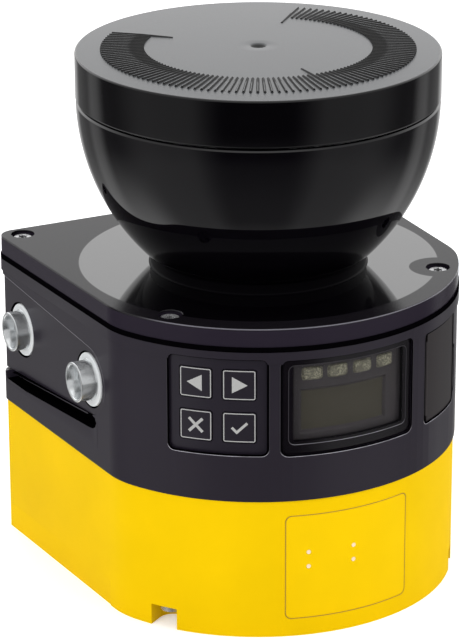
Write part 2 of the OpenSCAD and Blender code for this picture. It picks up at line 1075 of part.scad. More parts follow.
module plug_seal() {
    h = plug_z1 - plug_z0;
    color("#111111")
        translate([0, ledge_y + plug_seal_t, (plug_z0 + plug_z1) / 2])
            rotate([90, 0, 0])
                linear_extrude(plug_seal_t)
                    difference() {
                        square([ledge_hole_w + 3, h - 0.4], center = true);
                        square([ledge_hole_w + 1, h - 2.2], center = true);
                    }
}

module plug_screws() {
    color(steel)
        at_plug_screws()
            difference() {
                union() {
                    translate([0, 0, 10])
                        cylinder(r = 2.6, h = 1.8);
                    cylinder_from(3, 10.2, 1.45);
                }
                translate([0, 0, 10.7])
                    linear_extrude(2)
                        six_lobe(1.25);
            }
}

// A round connector shell along +Y with its contact carrier
module round_connector(r_out, r_in, pins) {
    difference() {
        union() {
            cylinder_from(plug_face_y - 7.6, plug_face_y, 6);
            cylinder_from(plug_face_y, plug_face_y + 1.6, 7.6);
            cylinder_from(plug_face_y + 1.5, collar_end_y, r_out);
        }
        cylinder_from(plug_face_y - 1, collar_end_y + 1, r_in);
    }
    if (pins)
        for (a = [0:360 / 7:350])
            rotate(a)
                translate([2.7, 0, 0])
                    cylinder_from(plug_face_y - 2, plug_face_y + 5.5, 0.45);
    else
        difference() {
            cylinder_from(plug_face_y - 1.5, plug_face_y + 6, 3.9);
            for (a = [45:90:315])
                rotate(a)
                    translate([2, 0, 0])
                        cylinder_from(plug_face_y + 1, plug_face_y + 7, 0.6);
        }
}

module power_connector() {
    color("#c9c6b8")
        translate([plug_x[0], 0, plug_zc])
            rotate([-90, 0, 0])
                round_connector(6, 4.9, true);
}

module network_connectors() {
    color("#c9c6b8")
        for (x = [plug_x[1], plug_x[2]])
            translate([x, 0, plug_zc])
                rotate([-90, 0, 0])
                    round_connector(7, 5.5, false);
}

// ---- Optics frame: base plate, rear pillar and head disc cast in one ----

module optics_frame() {
    color("#a7aaad")
        difference() {
            union() {
                intersection() {
                    slab(body_in + wall + 4.5, plate_z0, plate_z1);
                    middle_band(side_inner - 1.5);
                }
                at_frame_lugs()
                    translate([0, 0, plate_z0])
                        cylinder(r = 4.2, h = plate_z1 - plate_z0);
                pillar(plate_z0, head_z1);
                translate([0, 0, head_z0])
                    cylinder(r = 43.5, h = head_z1 - head_z0, $fn = 96);
                translate([0, 0, head_z1 - eps])
                    cylinder(r = 8.5, h = 3.4);
                translate([0, 0, head_z0 - 8])
                    cylinder(r = tube_r, h = 9);
            }
            // clearance for the display board, screw posts, light path and bearing seats
            translate([-display_board_w / 2 - 2, -60, plate_z0 - 1])
                cube([display_board_w + 4, 60 + display_board_y + board_t + 1, 10]);
            at_cover_screws()
                cylinder(r = post_r + 0.8, h = 200);
            translate([0, 0, plate_z0 - 1])
                cylinder(r = 18.2, h = 10);
            for (a = [0:60:300])
                rotate([0, 0, a + 30])
                    translate([28, 0, head_z0 - 1])
                        cylinder(r = 8, h = 10);
            cylinder_from(head_z0 - 9, head_z0 - 3.9, bearing_r);
            cylinder_from(head_z0 - 9, head_z1 + 8, 4);
            cylinder_from(head_z1 - 0.2, head_z1 + 8, bearing_r);
            at_frame_lugs()
                cylinder(r = 1.6, h = 200, $fn = 32);
        }
}

module pillar(z0, z1) {
    difference() {
        intersection() {
            ring(pillar_r1, pillar_r0, z0, z1);
            translate([-13, 5, 0])
                cube([26, 30, 200]);
        }
        // channel of the flex cable, open to the back and passing inwards below the head disc
        translate([-flex_w / 2 - 0.2, flex_y, plate_z1 - eps])
            cube([flex_w + 0.4, 5, z1]);
        translate([-flex_w / 2 - 0.2, pillar_r0 - 3, head_z0 - 1.2])
            cube([flex_w + 0.4, 5, 1.2 - eps]);
    }
}

module frame_screws() {
    color(steel)
        at_frame_lugs() {
            cylinder_from(plate_z0 - 7, plate_z1 + 0.1, 1.25);
            cylinder_from(plate_z1, plate_z1 + 1.8, 2.6);
        }
}

module monitor_board() {
    color(pcb_green)
        difference() {
            ring(43.5, 27.5, plate_z1, plate_z1 + board_t);
            at_cover_screws()
                cylinder(r = post_r + 1, h = 200);
            at_frame_lugs()
                cylinder(r = 5.2, h = 200);
        }
    // emitters and receivers that watch the cover for dirt
    color("#dfe3e6")
        for (a = [0:45:315])
            rotate([0, 0, a])
                translate([36, 0, 0])
                    cylinder_from(plate_z1 + board_t - 0.2, plate_z1 + board_t + 3, 2.2);
}

module receiver_tube() {
    color("#1b1b1d")
        difference() {
            union() {
                ring(18, 16, 52, 84.5);
                ring(21, 16, plate_z1, plate_z1 + 2);
                ring(19.6, 16, 84.4, 89);
            }
            rod([0, 0], 17.4, 86, 90);
        }
}

module receiver_lens() {
    color("#a9bfc6")
        difference() {
            union() {
                cylinder_from_fine(86, 88.4, 17.3);
                translate([0, 0, 86.3])
                    intersection() {
                        translate([0, 0, -29.5])
                            sphere(r = 34.8, $fn = 96);
                        cylinder(r = 17.3, h = 12, $fn = 96);
                    }
            }
            rod([0, 0], 4.3, 80, 100);
        }
}

module cylinder_from_fine(z0, z1, r) {
    translate([0, 0, z0])
        cylinder(r = r, h = z1 - z0, $fn = 96);
}

module laser_module() {
    color("#8a8d90")
        difference() {
            union() {
                cylinder_from(60, 90.5, 4.2);
                cylinder_from(56, 60, 6.5);
            }
            cylinder_from(86, 92, 3);
        }
}

module receiver_board() {
    color(pcb_green)
        translate([-24, -22, 50.4])
            cube([48, 44, board_t]);
    color("#1d1d1f") {
        translate([-3, 8, 52])
            cube([6, 6, 1.6]);
        translate([-20, -18, 48.6])
            cube([12, 12, 1.8]);
        cylinder_from(52, 56, 4);
    }
}

module encoder_sensor() {
    color("#1d1d1f")
        difference() {
            translate([-4, 18.4, bell_z0 - 4])
                cube([8, 3, 8]);
            translate([-5, 17, bell_z0 - 0.6])
                cube([10, 3.9, 2.2]);
        }
}

// ---- Motor and rotor ----

module bearings() {
    color(steel)
        for (z = [head_z0 - 8, head_z1])
            ring(bearing_r, 2, z, z + 3.2);
}

module motor_stator() {
    color("#9a5a2c")
        union() {
            ring(10, tube_r, head_z0 - 7.6, head_z0 - 1);
            for (a = [0:40:320])
                rotate([0, 0, a])
                    translate([9, -1.4, head_z0 - 7.6])
                        cube([3.6, 2.8, 6.6]);
            intersection() {
                ring(13.8, 12.4, head_z0 - 7.6, head_z0 - 1);
                for (a = [0:40:320])
                    rotate([0, 0, a])
                        translate([10, -3.6, head_z0 - 8])
                            cube([5, 7.2, 9]);
            }
        }
}

module motor_flex() {
    color("#b0752b") {
        translate([-flex_w / 2, flex_y, plate_z1 + board_t])
            cube([flex_w, flex_t, head_z0 - 0.5 - plate_z1 - board_t]);
        translate([-flex_w / 2, 13.9, head_z0 - 0.5 - flex_t])
            cube([flex_w, flex_y + flex_t - 13.9, flex_t]);
    }
}

module rotor_bell() {
    color("#5d6064") {
        ring(16.8, 14.4, bell_z0, bell_z1);
        ring(16.8, 1.96, bell_z0, bell_z0 + 1.6);
    }
}

module rotor_shaft() {
    color("#d5d7d9")
        cylinder_from(bell_z0 - 4, head_z1 + 3.3, shaft_r);
}

// Half-space above the 45 degree mirror plane, shifted along its normal
module above_mirror(shift) {
    translate([0, 0, scan_z])
        rotate([-45, 0, 0])
            translate([-40, -60, shift])
                cube([80, 120, 60]);
}

module mirror_carrier() {
    color("#4a4c50")
        difference() {
            intersection() {
                cylinder_from_fine(93.5, bell_z0, mirror_r);
                above_mirror(1.5);
            }
            // balance pockets
            for (a = [60, 120])
                rotate([0, 0, a])
                    translate([11.5, 0, bell_z0 - 6])
                        cylinder(r = 2.6, h = 3);
            cylinder_from(bell_z0 - 4, bell_z0 + 1, shaft_r);
        }
}

module deflection_mirror() {
    color("#dfe6ea")
        intersection() {
            cylinder_from_fine(91.5, bell_z0 - 0.5, mirror_r - 0.6);
            difference() {
                above_mirror(0);
                above_mirror(1.5);
            }
        }
}

module encoder_disc() {
    color("#c9cccd")
        difference() {
            ring(20.4, 16.8, bell_z0, bell_z0 + 0.8);
            for (a = [0:15:345])
                rotate([0, 0, a])
                    translate([18.2, -0.5, bell_z0 - 1])
                        cube([1.5, 1, 3]);
        }
}

optics_cover();
cover_flange();
head_cap();
cover_seal();
cover_screws();
housing();
housing_seal();
base_housing();
base_screws();
side_bushings();
rear_bushings();
keypad_frame();
key_back();
key_forward();
key_cancel();
key_confirm();
keypad_board();
window_gasket();
display_window();
display_module();
led_guides();
display_board();
port_cover();
service_port();
status_film();
status_guides();
status_board();
main_board();
power_board();
system_plug();
plug_seal();
plug_screws();
power_connector();
network_connectors();
optics_frame();
frame_screws();
monitor_board();
receiver_tube();
receiver_lens();
receiver_board();
laser_module();
bearings();
motor_stator();
motor_flex();
rotor_bell();
rotor_shaft();
mirror_carrier();
deflection_mirror();
encoder_disc();
encoder_sensor();
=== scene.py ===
"""Safety laser scanner: yellow base, black housing, dark optics cover and head cap.

Sizes of the part are in millimetres, and MM turns them into Blender's metres. Lights and
camera are placed in metres. The front faces -Y. Angles on it are in degrees, 0 in the
middle and positive to the right."""

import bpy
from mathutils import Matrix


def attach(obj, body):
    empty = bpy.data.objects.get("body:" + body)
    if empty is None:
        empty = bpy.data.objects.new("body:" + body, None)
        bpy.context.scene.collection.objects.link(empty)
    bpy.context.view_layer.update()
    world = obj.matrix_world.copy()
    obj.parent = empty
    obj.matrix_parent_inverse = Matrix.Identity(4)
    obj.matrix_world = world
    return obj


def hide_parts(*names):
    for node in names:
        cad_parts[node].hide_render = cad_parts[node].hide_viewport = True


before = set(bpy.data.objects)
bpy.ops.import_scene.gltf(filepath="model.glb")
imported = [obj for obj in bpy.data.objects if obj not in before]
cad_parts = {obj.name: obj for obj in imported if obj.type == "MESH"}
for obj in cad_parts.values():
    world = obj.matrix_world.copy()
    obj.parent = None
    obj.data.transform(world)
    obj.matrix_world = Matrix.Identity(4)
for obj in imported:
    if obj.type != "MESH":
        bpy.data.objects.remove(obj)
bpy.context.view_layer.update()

import math
from types import SimpleNamespace

import bmesh
import bpy
import numpy as np
from bpy.props import (
    FloatProperty,
    FloatVectorProperty,
    IntProperty,
    PointerProperty,
)

bl_info = {
    "name": "Safety laser scanner",
    "version": (1, 0, 0),
    "blender": (4, 5, 0),
    "location": "View3D > Sidebar > Scanner",
    "description": "Dresses the scanner's frame with surfaces and finishes",
    "category": "Object",
}

MM = 0.001
GROUP = "Scanner"
ROUND = 192  # steps round the cover and the cap
CREASE = 28.0  # edges of a CAD node that turn by more degrees stay sharp or are rounded

COVER_TOP, FLANGE_TOP = 136.4, 89.4
BUSHING_Z, FRONT_BUSHING_Y, REAR_BUSHING_Y = 63.6, -1.6, 42.4
SLOT_END_Y = 54.9
GAP_R = 55.42  # the lines in gaps lie just outside the front wall
WINDOW_Z, PANEL_R = 66.8, 53.3
CONTROL_FOIL = (0.0125, 0.0098, 0.0165)


# ---- Shader maths ----


class Wire:
    """A shader socket that takes part in ordinary arithmetic."""

    def __init__(self, nodes, socket):
        self.nodes, self.socket = nodes, socket

    def maths(self, operation, *values):
        """One Math node in the same tree."""
        return self.nodes.node("ShaderNodeMath", {"operation": operation}, dict(enumerate(values)))

    def __add__(self, other):
        return self.maths("ADD", self, other)

    __radd__ = __add__

    def __mul__(self, other):
        return self.maths("MULTIPLY", self, other)

    __rmul__ = __mul__

    def __sub__(self, other):
        return self.maths("SUBTRACT", self, other)

    def __rsub__(self, other):
        return self.maths("SUBTRACT", other, self)

    def __truediv__(self, other):
        return self.maths("DIVIDE", self, other)

    def __rtruediv__(self, other):
        return self.maths("DIVIDE", other, self)

    def __pow__(self, other):
        return self.maths("POWER", self, other)

    def __abs__(self):
        return self.maths("ABSOLUTE", self)

    def least(self, other):
        return self.maths("MINIMUM", self, other)

    def most(self, other):
        return self.maths("MAXIMUM", self, other)

    def step(self, low, high):
        """0 below low, 1 above high, smooth between them."""
        return self.nodes.node(
            "ShaderNodeMapRange",
            {"interpolation_type": "SMOOTHSTEP"},
            {"Value": self, "From Min": low, "From Max": high},
        )


class Nodes:
    """A node tree under construction."""

    def __init__(self, tree):
        self.tree = tree
        tree.nodes.clear()

    def give(self, target, value):
        """Links a wire to a socket, or sets the socket's own value. Colours are opaque."""
        if isinstance(value, Wire):
            self.tree.links.new(value.socket, target)
        else:
            target.default_value = (*value, 1.0) if target.type == "RGBA" else value

    def node(self, kind, choices=None, inputs=None, output=0):
        """One node: its choices first, then the values or links of its sockets."""
        made = self.tree.nodes.new(kind)
        for key, value in (choices or {}).items():
            setattr(made, key, value)
        for key, value in (inputs or {}).items():
            self.give(made.inputs[key], value)
        return Wire(self, made.outputs[output])


class Finish(Nodes):
    """A material under construction, with its shader and its object coordinates."""

    def __init__(self, name, **fixed):
        self.material = bpy.data.materials.new(name)
        self.material.use_nodes = True
        super().__init__(self.material.node_tree)
        output = self.tree.nodes.new("ShaderNodeOutputMaterial")
        self.shader = self.tree.nodes.new("ShaderNodeBsdfPrincipled")
        self.tree.links.new(self.shader.outputs[0], output.inputs[0])
        for socket, value in fixed.items():
            self.feed(socket.replace("_", " "), value)

    def feed(self, socket, value):
        self.give(self.shader.inputs[socket], value)

    def place(self):
        """Object coordinates, in metres in the frame of the part."""
        return self.node("ShaderNodeTexCoord", output="Object")

    def axis(self, name):
        """One object coordinate, in metres."""
        return self.node("ShaderNodeSeparateXYZ", None, {0: self.place()}, output=name)

    def noise(self, per_mm, detail=2.0, rough=0.5, stretch=(1, 1, 1)):
        """Noise about 0.5 whose features are about 1 / per_mm millimetres wide."""
        where = self.node("ShaderNodeMapping", None, {"Vector": self.place(), "Scale": stretch})
        sockets = {"Vector": where, "Scale": per_mm / MM, "Detail": detail, "Roughness": rough}
        return self.node("ShaderNodeTexNoise", None, sockets, output="Fac")

    def mix(self, factor, a, b):
        """Colour a where factor is 0 and colour b where it is 1."""
        sockets = {"Factor": factor, 6: a, 7: b}
        return self.node("ShaderNodeMix", {"data_type": "RGBA"}, sockets, output=2)

    def bump(self, height, depth_mm, strength=1.0):
        sockets = {"Height": height, "Distance": depth_mm * MM, "Strength": strength}
        return self.node("ShaderNodeBump", None, sockets)


def tint(colour, factor):
    return tuple(min(1.0, c * factor) for c in colour)


def moulded(name, colour, rough, grain_mm, grain_depth, specular=0.5, coat=0.0):
    """Moulded plastic: faint mottling, a fine spark-eroded texture and uneven sheen."""
    look = Finish(name, Specular_IOR_Level=specular, Coat_Weight=coat, Coat_Roughness=0.12)
    spread = 0.06
    cloud = look.noise(0.04, 3.0)
    grain = look.noise(1.0 / grain_mm, 2.0)
    look.feed("Base Color", look.mix(cloud, tint(colour, 0.9), tint(colour, 1.1)))
    look.feed("Roughness", rough + spread * (cloud - 0.5) + spread * (grain - 0.5))
    look.feed("Normal", look.bump(grain, grain_depth))
    return look


def polished(name, colour, rough):
    """Polished smoked plastic with a slight waviness and a few faint haze marks."""
    look = Finish(name, IOR=1.5)
    wave = look.noise(0.02, 1.0)
    haze = look.noise(0.3, 4.0)
    look.feed("Base Color", look.mix(haze, tint(colour, 0.8), tint(colour, 1.2)))
    look.feed("Roughness", rough + 0.03 * haze.step(0.5, 0.8))
    look.feed("Normal", look.bump(wave, 0.02, 0.3))
    return look


def metal(name, colour, rough, stretch=(1, 1, 1), per_mm=2.0, depth=0.002, metallic=1.0):
    """Plated or machined metal: fine lines or blotches in colour, sheen and relief."""
    look = Finish(name, Metallic=metallic)
    lines = look.noise(per_mm, 4.0, 0.6, stretch)
    cloud = look.noise(0.2, 2.0)
    look.feed("Base Color", look.mix(cloud, tint(colour, 0.88), tint(colour, 1.1)))
    look.feed("Roughness", rough + 0.12 * (lines - 0.5) + 0.08 * (cloud - 0.5))
    look.feed("Normal", look.bump(lines, depth))
    return look


# ---- Surfaces ----


def grid_mesh(name, points, wrap_u=False, wrap_v=False, flip=False):
    """A mesh over points[i, j]: quads between neighbours, closed where an axis wraps.
    A row whose points all meet becomes one vertex with a fan of triangles."""
    nu, nv = points.shape[:2]
    index = np.arange(nu * nv).reshape(nu, nv)
    for row in (0, -1):
        if np.ptp(points[row], axis=0).max() < 1e-9:
            index[row] = index[row, 0]
    rows = np.vstack([index, index[:1]]) if wrap_u else index
    full = np.hstack([rows, rows[:, :1]]) if wrap_v else rows
    quads = np.stack(
        [full[:-1, :-1], full[:-1, 1:], full[1:, 1:], full[1:, :-1]], axis=-1
    ).reshape(-1, 4)
    if flip:
        quads = quads[:, ::-1]
    used, flat = np.unique(quads, return_inverse=True)
    quads = flat.reshape(-1, 4)
    three_a = quads[:, 0] == quads[:, 1]
    three_b = quads[:, 2] == quads[:, 3]
    faces = quads[~(three_a | three_b)].tolist()
    faces += quads[three_a][:, 1:].tolist()
    faces += quads[three_b & ~three_a][:, :3].tolist()
    mesh = bpy.data.meshes.new(name)
    mesh.from_pydata((points.reshape(-1, 3)[used] * MM).tolist(), [], faces)
    mesh.validate()
    return mesh


def piece(name, meshes, finish, body, crease=30.0, replaces=()):
    """Joins meshes into one object that rides on a body, with creases above an angle."""
    verts, faces, start = [], [], 0
    for mesh in meshes:
        places = np.zeros(len(mesh.vertices) * 3)
        mesh.vertices.foreach_get("co", places)
        verts.append(places.reshape(-1, 3))
        faces += [[v + start for v in p.vertices] for p in mesh.polygons]
        start += len(mesh.vertices)
        bpy.data.meshes.remove(mesh)
    whole = bpy.data.meshes.new(name)
    whole.from_pydata(np.vstack(verts).tolist(), [], faces)
    return place_object(name, whole, finish, body, crease, replaces)


def place_object(name, mesh, finish, body, crease=30.0, replaces=()):
    mesh.polygons.foreach_set("use_smooth", [True] * len(mesh.polygons))
    mesh.set_sharp_from_angle(angle=math.radians(crease))
    made = bpy.data.objects.new(name, mesh)
    bpy.context.scene.collection.objects.link(made)
    mesh.materials.clear()
    mesh.materials.append(finish.material)
    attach(made, body)
    if replaces:
        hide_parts(*replaces)
    return made


def revolve(profile, count):
    """Points r(i) (cos t, sin t), z(i) of a profile turned about the vertical axis."""
    r, z = np.asarray(profile, float).T[..., None]
    t = np.radians(np.linspace(0, 360, count, endpoint=False))
    return np.stack([r * np.cos(t), r * np.sin(t), z + 0 * t], axis=-1)


def arc(centre, radius, start, end, count):
    """Points of a circular arc, centre + radius (cos t, sin t)."""
    t = np.radians(np.linspace(start, end, count))
    return np.stack([centre[0] + radius * np.cos(t), centre[1] + radius * np.sin(t)], 1)


def round_rect(width, height, radius, per_corner=6):
    """Closed path round a rectangle whose corners are quarter circles."""
    x, y = width / 2 - radius, height / 2 - radius
    return np.vstack(
        [
            arc((sx * x, sy * y), radius, a, a + 90, per_corner)
            for sx, sy, a in ((1, 1, 0), (-1, 1, 90), (-1, -1, 180), (1, -1, 270))
        ]
    )


def on_front(flat, radius, angle, z, lift=0.0):
    """Carries flat points (u, v) to the front arc: u runs round it, v up, lift outwards."""
    flat = np.asarray(flat, float)
    t = math.radians(angle)
    u, v = flat[..., 0], flat[..., 1]
    depth = np.sqrt(radius**2 - u**2) + lift
    x = u * math.cos(t) + depth * math.sin(t)
    y = u * math.sin(t) - depth * math.cos(t)
    return np.stack([x, y, v + z], axis=-1)


def finely(path, step=0.5, closed=False):
    """The same path with extra points, no further apart than step, corners kept."""
    path = np.asarray(path, float)
    ends = np.vstack([path, path[:1]]) if closed else path
    lengths = np.linalg.norm(np.diff(ends, axis=0), axis=1)
    cuts = np.maximum(np.ceil(lengths / step).astype(int), 1)
    start = np.concatenate([[0.0], np.cumsum(cuts)])
    at = np.arange(start[-1] + (0 if closed else 1))
    return np.stack([np.interp(at, start, ends[:, k]) for k in (0, 1)], 1)


def capped(ring):
    """The ring with a first and a last row that each meet in the middle of an open end."""
    count = ring.shape[1]
    ends = [np.repeat(row.mean(1, keepdims=True), count, 1) for row in (ring[:1], ring[-1:])]
    return np.concatenate([ends[0], ring, ends[1]])


def stroke(name, path, half, radius, angle, z, height, closed=False):
    """A flat raised line along a path on the front arc: at each point the section is
    a rectangle that reaches half to both sides and height outwards. half may be a pair,
    for the path's start and end."""
    sunk = 0.05
    path = finely(path, 0.5, closed)
    half = np.interp(np.linspace(0, 1, len(path)), [0, 1], np.broadcast_to(half, (2,)))
    if closed:
        ahead = np.roll(path, -1, 0) - path
        behind = path - np.roll(path, 1, 0)
    else:
        ahead = np.diff(path, axis=0)
        ahead = np.vstack([ahead, ahead[-1:]])
        behind = np.vstack([ahead[:1], ahead[:-1]])
    ahead = ahead / np.maximum(np.linalg.norm(ahead, axis=1, keepdims=True), 1e-9)
    behind = behind / np.maximum(np.linalg.norm(behind, axis=1, keepdims=True), 1e-9)
    along = ahead + behind
    along /= np.linalg.norm(along, axis=1, keepdims=True)
    side = np.stack([-along[:, 1], along[:, 0]], 1)
    mitre = 1 / np.maximum(np.sum(along * ahead, axis=1), 0.5)
    reach = side * (half * mitre)[:, None]
    low_a = on_front(path - reach, radius, angle, z, -sunk)
    low_b = on_front(path + reach, radius, angle, z, -sunk)
    top_a = on_front(path - reach, radius, angle, z, height)
    top_b = on_front(path + reach, radius, angle, z, height)
    ring = np.stack([low_b, top_b, top_a, low_a], axis=1)
    if not closed:
        ring = capped(ring)
    return grid_mesh(name, ring, wrap_u=closed, wrap_v=True)


def merged_copy(node):
    """A CAD node's mesh with its loose triangles joined and its flat faces made whole."""
    flat = math.radians(0.3)
    work = bmesh.new()
    work.from_mesh(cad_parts[node].data)
    bmesh.ops.remove_doubles(work, verts=work.verts, dist=2e-6)
    bmesh.ops.dissolve_limit(work, angle_limit=flat, verts=work.verts, edges=work.edges)
    mesh = bpy.data.meshes.new(node + "_merged")
    work.to_mesh(mesh)
    work.free()
    return mesh


def dressed_copy(name, node, finish, body, round_mm=0.0, segments=2):
    """A merged, smooth-shaded copy of a CAD node, with its hard edges rounded."""
    made = place_object(name, merged_copy(node), finish, body, CREASE, (node,))
    if round_mm:
        rounding = made.modifiers.new("edge_rounding", "BEVEL")
        rounding.limit_method = "ANGLE"
        rounding.angle_limit = math.radians(CREASE)
        rounding.width = round_mm * MM
        rounding.segments = segments
        rounding.harden_normals = True
        rounding.use_clamp_overlap = True
    return made


def flat_top(made, least_area=40):
    """Large faces are shaded flat, so no seam shows between their holes."""
    area = np.zeros(len(made.data.polygons))
    made.data.polygons.foreach_get("area", area)
    made.data.polygons.foreach_set("use_smooth", area < least_area * MM**2)
    made.modifiers[0].harden_normals = False


def within(values, low, high):
    return (values > low) & (values < high)


def centres_and_normals(mesh):
    """Centres and normals of a mesh's faces, the centres in millimetres."""
    found = []
    for key in ("center", "normal"):
        values = np.zeros(3 * len(mesh.polygons))
        mesh.polygons.foreach_get(key, values)
        found.append(values.reshape(-1, 3))
    return found[0] / MM, found[1]


def shade_faces(made, chosen, finish):
    """Gives the chosen faces a second finish, painted shade for the walls of gaps that no light reaches.
    """
    made.data.materials.append(finish.material)
    made.data.polygons.foreach_set("material_index", chosen.astype(np.int32))


def deep_shade():
    """Painted shade for gaps: black, mottled, rough and without gloss. All gaps share one material."""
    if "deep_shade" in bpy.data.materials:
        return SimpleNamespace(material=bpy.data.materials["deep_shade"])
    look = Finish("deep_shade", Roughness=0.9, Specular_IOR_Level=0.0)
    darker, lighter = (0.0006, 0.0005, 0.0008), (0.0012, 0.001, 0.0014)
    look.feed("Base Color", look.mix(look.noise(0.5), darker, lighter))
    return look


def support_points(node, low, high, out=0.0, count=720):
    """Outline of a convex prism: in each level direction u, its farthest corner between
    two heights, moved by out along u. Returns the points and the directions."""
    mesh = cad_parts[node].data
    places = np.zeros(3 * len(mesh.vertices))
    mesh.vertices.foreach_get("co", places)
    places = places.reshape(-1, 3) / MM
    flat = places[(places[:, 2] > low) & (places[:, 2] < high)][:, :2]
    t = 2 * np.pi * np.arange(count) / count
    u = np.stack([np.cos(t), np.sin(t)], 1)
    return flat[np.argmax(u @ flat.T, axis=1)] + out * u, u


def outline_band(name, node, low, high, out, deep, z0, z1):
    """A flat ring round a prism: at each outline point the section is a rectangle from
    out to out - deep across and from z0 to z1 up."""
    outer, u = support_points(node, low, high, out)
    inner = outer - deep * u
    corners = [(inner, z0), (outer, z0), (outer, z1), (inner, z1)]
    ring = np.stack([np.column_stack([xy, np.full(len(xy), z)]) for xy, z in corners], 1)
    return grid_mesh(name, ring, wrap_u=True, wrap_v=True, flip=True)


def turned(name, profile, side, y, z, ring=False, count=64):
    """A profile (x, r) turned about a cross axis at y, z; side is 1 or -1. It ends on the
    axis, or is closed to a ring."""
    body = revolve(np.asarray(profile)[:, ::-1], count)
    across = np.stack([side * body[..., 2], body[..., 0] + y, body[..., 1] + z], -1)
    return grid_mesh(name, across, wrap_u=ring, wrap_v=True, flip=side > 0)


def gap_line(name, angle, z, width, height, corner, half):
    """Painted shade and highlight round a panel in the front wall: a black line in the gap, and a pale
    painted highlight along the edge outside it.
    """
    path = round_rect(width, height, corner, 6)
    line = stroke(name, path, half, GAP_R, angle, z, 0.02, closed=True)
    piece(name, [line], deep_shade(), "root")
    reach = 2 * (half + 0.06)
    path = round_rect(width + reach, height + reach, corner + reach / 2, 6)
    line = stroke(name, path, 0.07, GAP_R, angle, z, 0.03, closed=True)
    piece(name + "_edge", [line], painted_edge_highlight(z - height / 2), "root")


def painted_edge_highlight(bottom, shine=1.0):
    """Painted highlight of a rounded edge, pale most of all along its lower side."""
    look = Finish("painted_edge_highlight", Roughness=0.35)
    lower = 1 - look.axis("Z").step((bottom + 0.2) * MM, (bottom + 1.6) * MM)
    lower = lower * (0.5 + 0.5 * look.noise(0.15).step(0.35, 0.6))
    # painted highlight: pale near the bottom, fading to dark above
    highlight_colour = look.mix(shine * lower, (0.028, 0.025, 0.031), (0.34, 0.33, 0.37))
    look.feed("Base Color", highlight_colour)
    return look


# ---- Settings ----


def length_setting(name, description, size):
    return FloatProperty(name=name, description=description, default=size * MM, unit="LENGTH")


def colour_setting(name, description, colour):
    return FloatVectorProperty(
        name=name, description=description, subtype="COLOR", default=colour, min=0, max=1
    )


def strength_setting(name, description, strength):
    return FloatProperty(name=name, description=description, default=strength, min=0)


class CoverSettings(bpy.types.PropertyGroup):
    """Sizes and finish of the optics cover and the head cap."""

    bowl_radius: length_setting("Bowl radius", "Radius at the bowl's top edge", 49.8)
    bowl_arc: length_setting("Bowl arc", "Radius of the arc of the bowl's side", 61)
    neck_radius: length_setting("Neck radius", "Radius of the neck", 29.8)
    smoke: colour_setting("Smoked plastic", "Colour of the cover", (0.0012, 0.0009, 0.0016))
    cap_grey: colour_setting("Cap top", "Colour of the cap's satin top", (0.040, 0.0425, 0.0465))
    rib_height: length_setting("Rib height", "Height of the field scale's ribs", 0.5)
    mark_count: IntProperty(
        name="Marks", description="Number of ribs of the field scale", default=111, min=3
    )


class HousingSettings(bpy.types.PropertyGroup):
    """Colours of the housing, the base and the controls."""

    black: colour_setting("Housing black", "Colour of the housing", (0.0150, 0.0118, 0.0190))
    yellow: colour_setting("Base yellow", "Colour of the base", (0.68, 0.44, 0.0012))
    print_grey: colour_setting(
        "Print", "Colour of the symbols and frames of the keys", (0.33, 0.33, 0.325)
    )
    zinc: colour_setting("Zinc", "Colour of the bushings", (0.7, 0.72, 0.73))


class StudioSettings(bpy.types.PropertyGroup):
    """Light and floor."""

    floor_white: colour_setting("Floor", "Colour of the floor", (0.94, 0.94, 0.94))
    sky: strength_setting("Sky", "Strength of the soft light from above", 0.88)
    backdrop: strength_setting("Backdrop", "Strength of the backdrop against the sky", 2.25)
    front_dim: strength_setting("Front", "Strength of what the front of the part mirrors", 0.02)


def settings(kind):
    return getattr(bpy.context.scene, "scanner_" + kind)


# ---- Pieces ----


